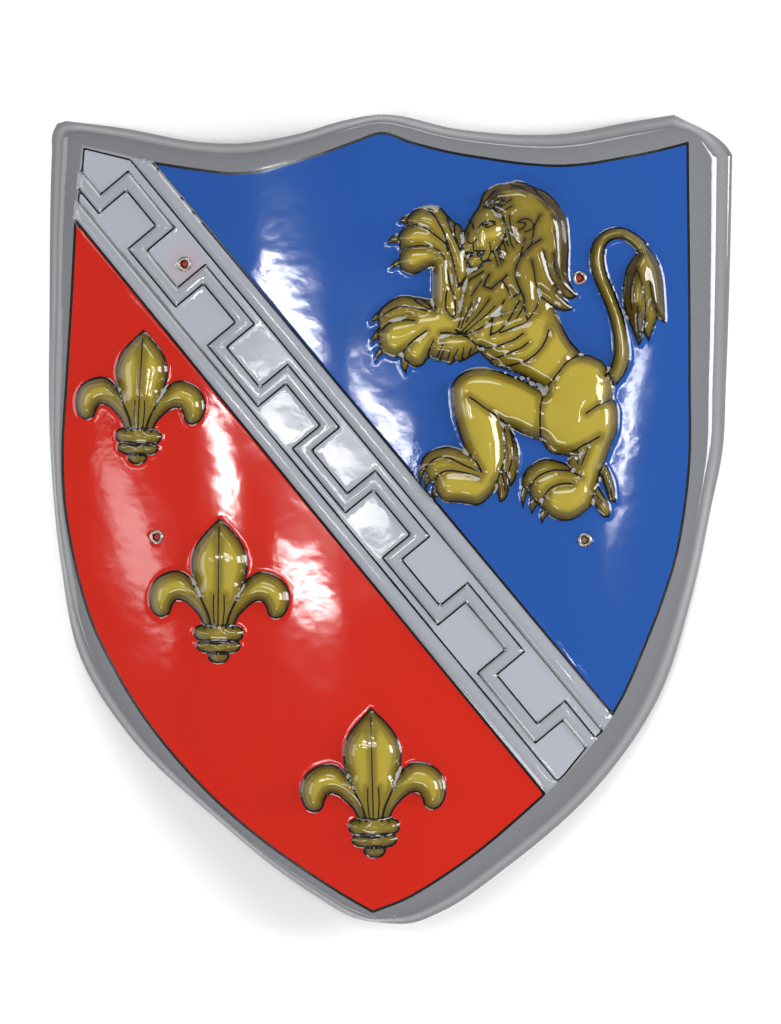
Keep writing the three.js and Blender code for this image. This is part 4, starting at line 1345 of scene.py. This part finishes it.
def strapBody(span):
    # rings of a rounded strip with a bead along each edge, closed at both ends
    half = strapSizes["width"] / 2
    reach = span / 2 + strapSizes["tab"]
    turns = np.linspace(0, math.pi, 14)[1:-1]
    endRows = reach - half + half * np.cos(turns[: len(turns) // 2])
    middleRows = np.linspace(reach - half, half - reach, strapSizes["rows"])
    rows = np.concatenate([[reach - 0.05], endRows, middleRows, -endRows[::-1], [0.05 - reach]])
    u = np.sin(np.linspace(-math.pi / 2, math.pi / 2, 21))
    edge = strapSizes["thick"] / 2 * (1 - np.abs(u) ** 8) ** 0.5
    bead = strapSizes["bead"] * np.exp(-(((np.abs(u) - strapSizes["beadAt"]) / 0.06) ** 2))
    ringX = np.concatenate([u, u[-2:0:-1]])
    upper, lower = edge, -edge - bead
    ringZ = np.concatenate([upper, lower[-2:0:-1]]) - strapSizes["thick"] / 2
    vertices = []
    for y in rows:
        beyond = max(abs(y) - (reach - half), 0)
        wide = math.sqrt(max(half**2 - beyond**2, 0.3))
        vertices += [(x * wide, y, z + strapSag(y, span)) for x, z in zip(ringX, ringZ)]
    count = len(ringX)
    faces = []
    for r in range(len(rows) - 1):
        for k in range(count):
            a, b = r * count + k, r * count + (k + 1) % count
            faces.append((a, b, b + count, a + count))
    faces.append(tuple(range(count))[::-1])
    last = (len(rows) - 1) * count
    faces.append(tuple(range(last, last + count)))
    return vertices, faces


def addStud(vertices, faces, y):
    # a round stud with a domed top, standing up into its eyelet
    sides = 24
    profile = [(1, -1.0), (1, 0.82), (0.9, 0.95), (0.6, 1.0), (0.2, 1.02)]
    first = len(vertices)
    for wide, high in profile:
        radius = strapSizes["stud"] * wide
        for k in range(sides):
            angle = 2 * math.pi * k / sides
            level = high * strapSizes["studRise"]
            vertices.append((radius * math.cos(angle), y + radius * math.sin(angle), level))
    for r in range(len(profile) - 1):
        for k in range(sides):
            a, b = first + r * sides + k, first + r * sides + (k + 1) % sides
            faces.append((a, b, b + sides, a + sides))
    top = first + (len(profile) - 1) * sides
    faces.append(tuple(range(top, top + sides)))
    faces.append(tuple(range(first, first + sides))[::-1])


def softPlastic(worn):
    paint = Paint("soft_plastic")
    place = paint.objectPlace()
    cloud = paint.noise(place, 45, 3)
    colour = paint.mix(cloud.ramp(0.3, 0.7), linear(142, 27, 20), linear(164, 38, 28))
    # the grip's lower stud is coloured greyish brown
    if worn:
        stain = paint.attribute("worn")
        colour = paint.mix(stain, colour, linear(120, 96, 84))
    grain = paint.node("ShaderNodeTexVoronoi", {}, {"Vector": place, "Scale": 900.0}, "Distance")
    surface = paint.bump(grain, 0.0001, 0.6)
    surface = paint.bump(cloud, 0.0004, 0.5, surface)
    roughness = 0.42 + cloud * 0.15
    return paint.finish({"Base Color": colour, "Roughness": roughness, "Normal": surface})


def makeStrap(side):
    upper, lower = eyeletPlaces[side + "_upper_eyelet"], eyeletPlaces[side + "_lower_eyelet"]
    origin, axes, span = strapAxes(upper, lower)
    vertices, faces = strapBody(span)
    body = len(vertices)
    addStud(vertices, faces, span / 2)
    addStud(vertices, faces, -span / 2)
    strap = meshFrom(side + "_carrying_strap", np.array(vertices) @ axes + origin, faces)
    # the grip's lower stud is coloured greyish brown
    worn = np.zeros(len(vertices))
    if side == "grip":
        worn[(body + len(vertices)) // 2 :] = 1
    addFloats(strap.data, "worn", worn)
    strap.data.materials.append(softPlastic(True))

    shaper = Shaper(side + "_ribs", {
        "Pitch": strapSizes["ribPitch"] * toMetres,
        "Radius": strapSizes["ribRadius"] * toMetres,
        "Length": strapSizes["ribLength"] * toMetres,
    })
    curve = shaper.node("GeometryNodeMeshToCurve", {}, {"Mesh": shaper.given("Geometry")})
    sockets = {"Curve": curve, "Length": shaper.given("Pitch")}
    even = shaper.node("GeometryNodeResampleCurve", {"mode": "LENGTH"}, sockets)
    sockets = {"Vertices": 12, "Radius": shaper.given("Radius"), "Depth": shaper.given("Length")}
    bar = shaper.node("GeometryNodeMeshCylinder", {}, sockets)
    bar = shaper.node("GeometryNodeTransform", {}, {"Geometry": bar, "Rotation": (0, math.pi / 2, 0)})
    tangent = shaper.node("GeometryNodeInputTangent")
    turn = shaper.node("FunctionNodeAlignEulerToVector", {"axis": "Y"}, {"Vector": tangent})
    sockets = {"Points": even, "Instance": bar, "Rotation": turn}
    placed = shaper.node("GeometryNodeInstanceOnPoints", {}, sockets)
    reach = 0.62 * (span / 2 - strapSizes["tab"])
    y = np.linspace(-reach, reach, 60)
    line = np.stack([0 * y, y, strapSag(y, span) - strapSizes["thick"] / 2], 1) @ axes + origin
    mesh = bpy.data.meshes.new(side + "_rib_line")
    mesh.from_pydata([tuple(v) for v in line * toMetres], [(k, k + 1) for k in range(len(line) - 1)], [])
    ribs = bpy.data.objects.new(side + "_strap_ribs", mesh)
    bpy.context.scene.collection.objects.link(ribs)
    shaper.run(ribs, placed, softPlastic(False))
    for piece in (strap, ribs):
        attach(piece, "root")
    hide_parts(side + "_strap")
    return strap, ribs


for side in ("arm", "grip"):
    pieces = makeStrap(side)
    print(side, "strap made", [len(piece.data.polygons) for piece in pieces], "faces")


studioSizes = {
    "cameraHeight": 5.0,
    "seen": 0.6144,  # length seen along the picture's long side, at the face
    "faceLevel": 0.035,
    "sensor": 36.0,
    "stripHeight": 1.5,
    "floorHalf": 6.0,
    "floorDrop": 0.0004,
}

floorMesh = bpy.data.meshes.new("floor")
edge, level = studioSizes["floorHalf"], -studioSizes["floorDrop"]
corners = [(x * edge, y * edge, level) for x, y in ((-1, -1), (1, -1), (1, 1), (-1, 1))]
floorMesh.from_pydata(corners, [], [(0, 1, 2, 3)])
floor = bpy.data.objects.new("floor", floorMesh)
bpy.context.scene.collection.objects.link(floor)
floorPaint = Paint("floor_paper")
paper = floorPaint.mix(floorPaint.noise(floorPaint.objectPlace(), 3, 3), (0.86, 0.86, 0.86), (0.9, 0.9, 0.9))
floorMesh.materials.append(floorPaint.finish({"Base Color": paper, "Roughness": 0.9}))


def softbox(name, place, aim, size, power, spin=0.0):
    light = bpy.data.lights.new(name, "AREA")
    light.shape = "RECTANGLE"
    light.size, light.size_y = size
    light.energy = power
    lamp = bpy.data.objects.new(name, light)
    facing = (Vector(aim) - Vector(place)).to_track_quat("-Z", "Y").to_matrix().to_4x4()
    lamp.matrix_world = Matrix.Translation(place) @ facing @ Matrix.Rotation(spin, 4, "Z")
    bpy.context.scene.collection.objects.link(lamp)
    return lamp


def mirroredStrip(name, start, end, width, radiance):
    # a strip light set where the bent glossy face mirrors it from start to end, for a viewer above
    height = studioSizes["stripHeight"]
    radius = sheetSizes["bendRadius"] * toMetres
    stretch = 1 + height / studioSizes["cameraHeight"]

    def lightPlace(spot):
        lean = 2 * math.asin(spot[0] / radius) + spot[0] / studioSizes["cameraHeight"]
        return Vector((spot[0] + height * math.tan(lean), spot[1] * stretch, height))

    a, b = lightPlace(start), lightPlace(end)
    spread = (2 * height / radius + stretch) * stretch
    area = spread * width * math.dist(start, end)
    length = (b - a).length
    light = bpy.data.lights.new(name, "AREA")
    light.shape = "ELLIPSE"
    light.size, light.size_y = length, area / length
    light.energy = radiance * area * 4
    lamp = bpy.data.objects.new(name, light)
    turn = math.atan2(b.y - a.y, b.x - a.x)
    lamp.matrix_world = Matrix.Translation((a + b) / 2) @ Matrix.Rotation(turn, 4, "Z")
    bpy.context.scene.collection.objects.link(lamp)


softbox("left_box", (-3.0, 0.2, 1.2), (0, 0, 0), (1.4, 2.2), 34)
softbox("right_box", (3.0, 0.4, 1.2), (0, 0, 0), (1.0, 1.9), 102)
softbox("top_box", (0.2, 2.4, 2.3), (0, 0, 0), (2.2, 1.0), 50)
softbox("low_box", (-0.9, -2.6, 2.0), (0, 0, 0), (2.2, 1.0), 60)
mirroredStrip("red_strip", (-0.106, 0.068), (-0.091, 0.004), 0.012, 30)
mirroredStrip("red_low_strip", (-0.068, -0.022), (-0.03, -0.056), 0.013, 30)
mirroredStrip("blue_strip", (-0.077, 0.15), (-0.04, 0.094), 0.013, 40)
mirroredStrip("middle_strip", (-0.024, 0.084), (0.012, 0.03), 0.008, 40)
mirroredStrip("band_strip", (-0.085, 0.075), (0.0, -0.012), 0.03, 10)
mirroredStrip("right_strip", (0.152, 0.118), (0.128, -0.01), 0.0045, 32)
mirroredStrip("pink_strip", (-0.174, 0.034), (-0.13, -0.06), 0.03, 4.5)

world = bpy.data.worlds.new("studio")
world.use_nodes = True
world.node_tree.nodes["Background"].inputs["Color"].default_value = (1, 1, 1, 1)
world.node_tree.nodes["Background"].inputs["Strength"].default_value = 0.3
bpy.context.scene.world = world
bpy.context.scene.view_settings.view_transform = "Standard"

camera = bpy.data.objects.new("camera", bpy.data.cameras.new("camera"))
bpy.context.scene.collection.objects.link(camera)
camera.location = (-0.0003, 0.0036, studioSizes["cameraHeight"])
camera.data.sensor_width = studioSizes["sensor"]
distance = studioSizes["cameraHeight"] - studioSizes["faceLevel"]
camera.data.lens = studioSizes["sensor"] * distance / studioSizes["seen"]
bpy.context.scene.camera = camera
print("studio made")
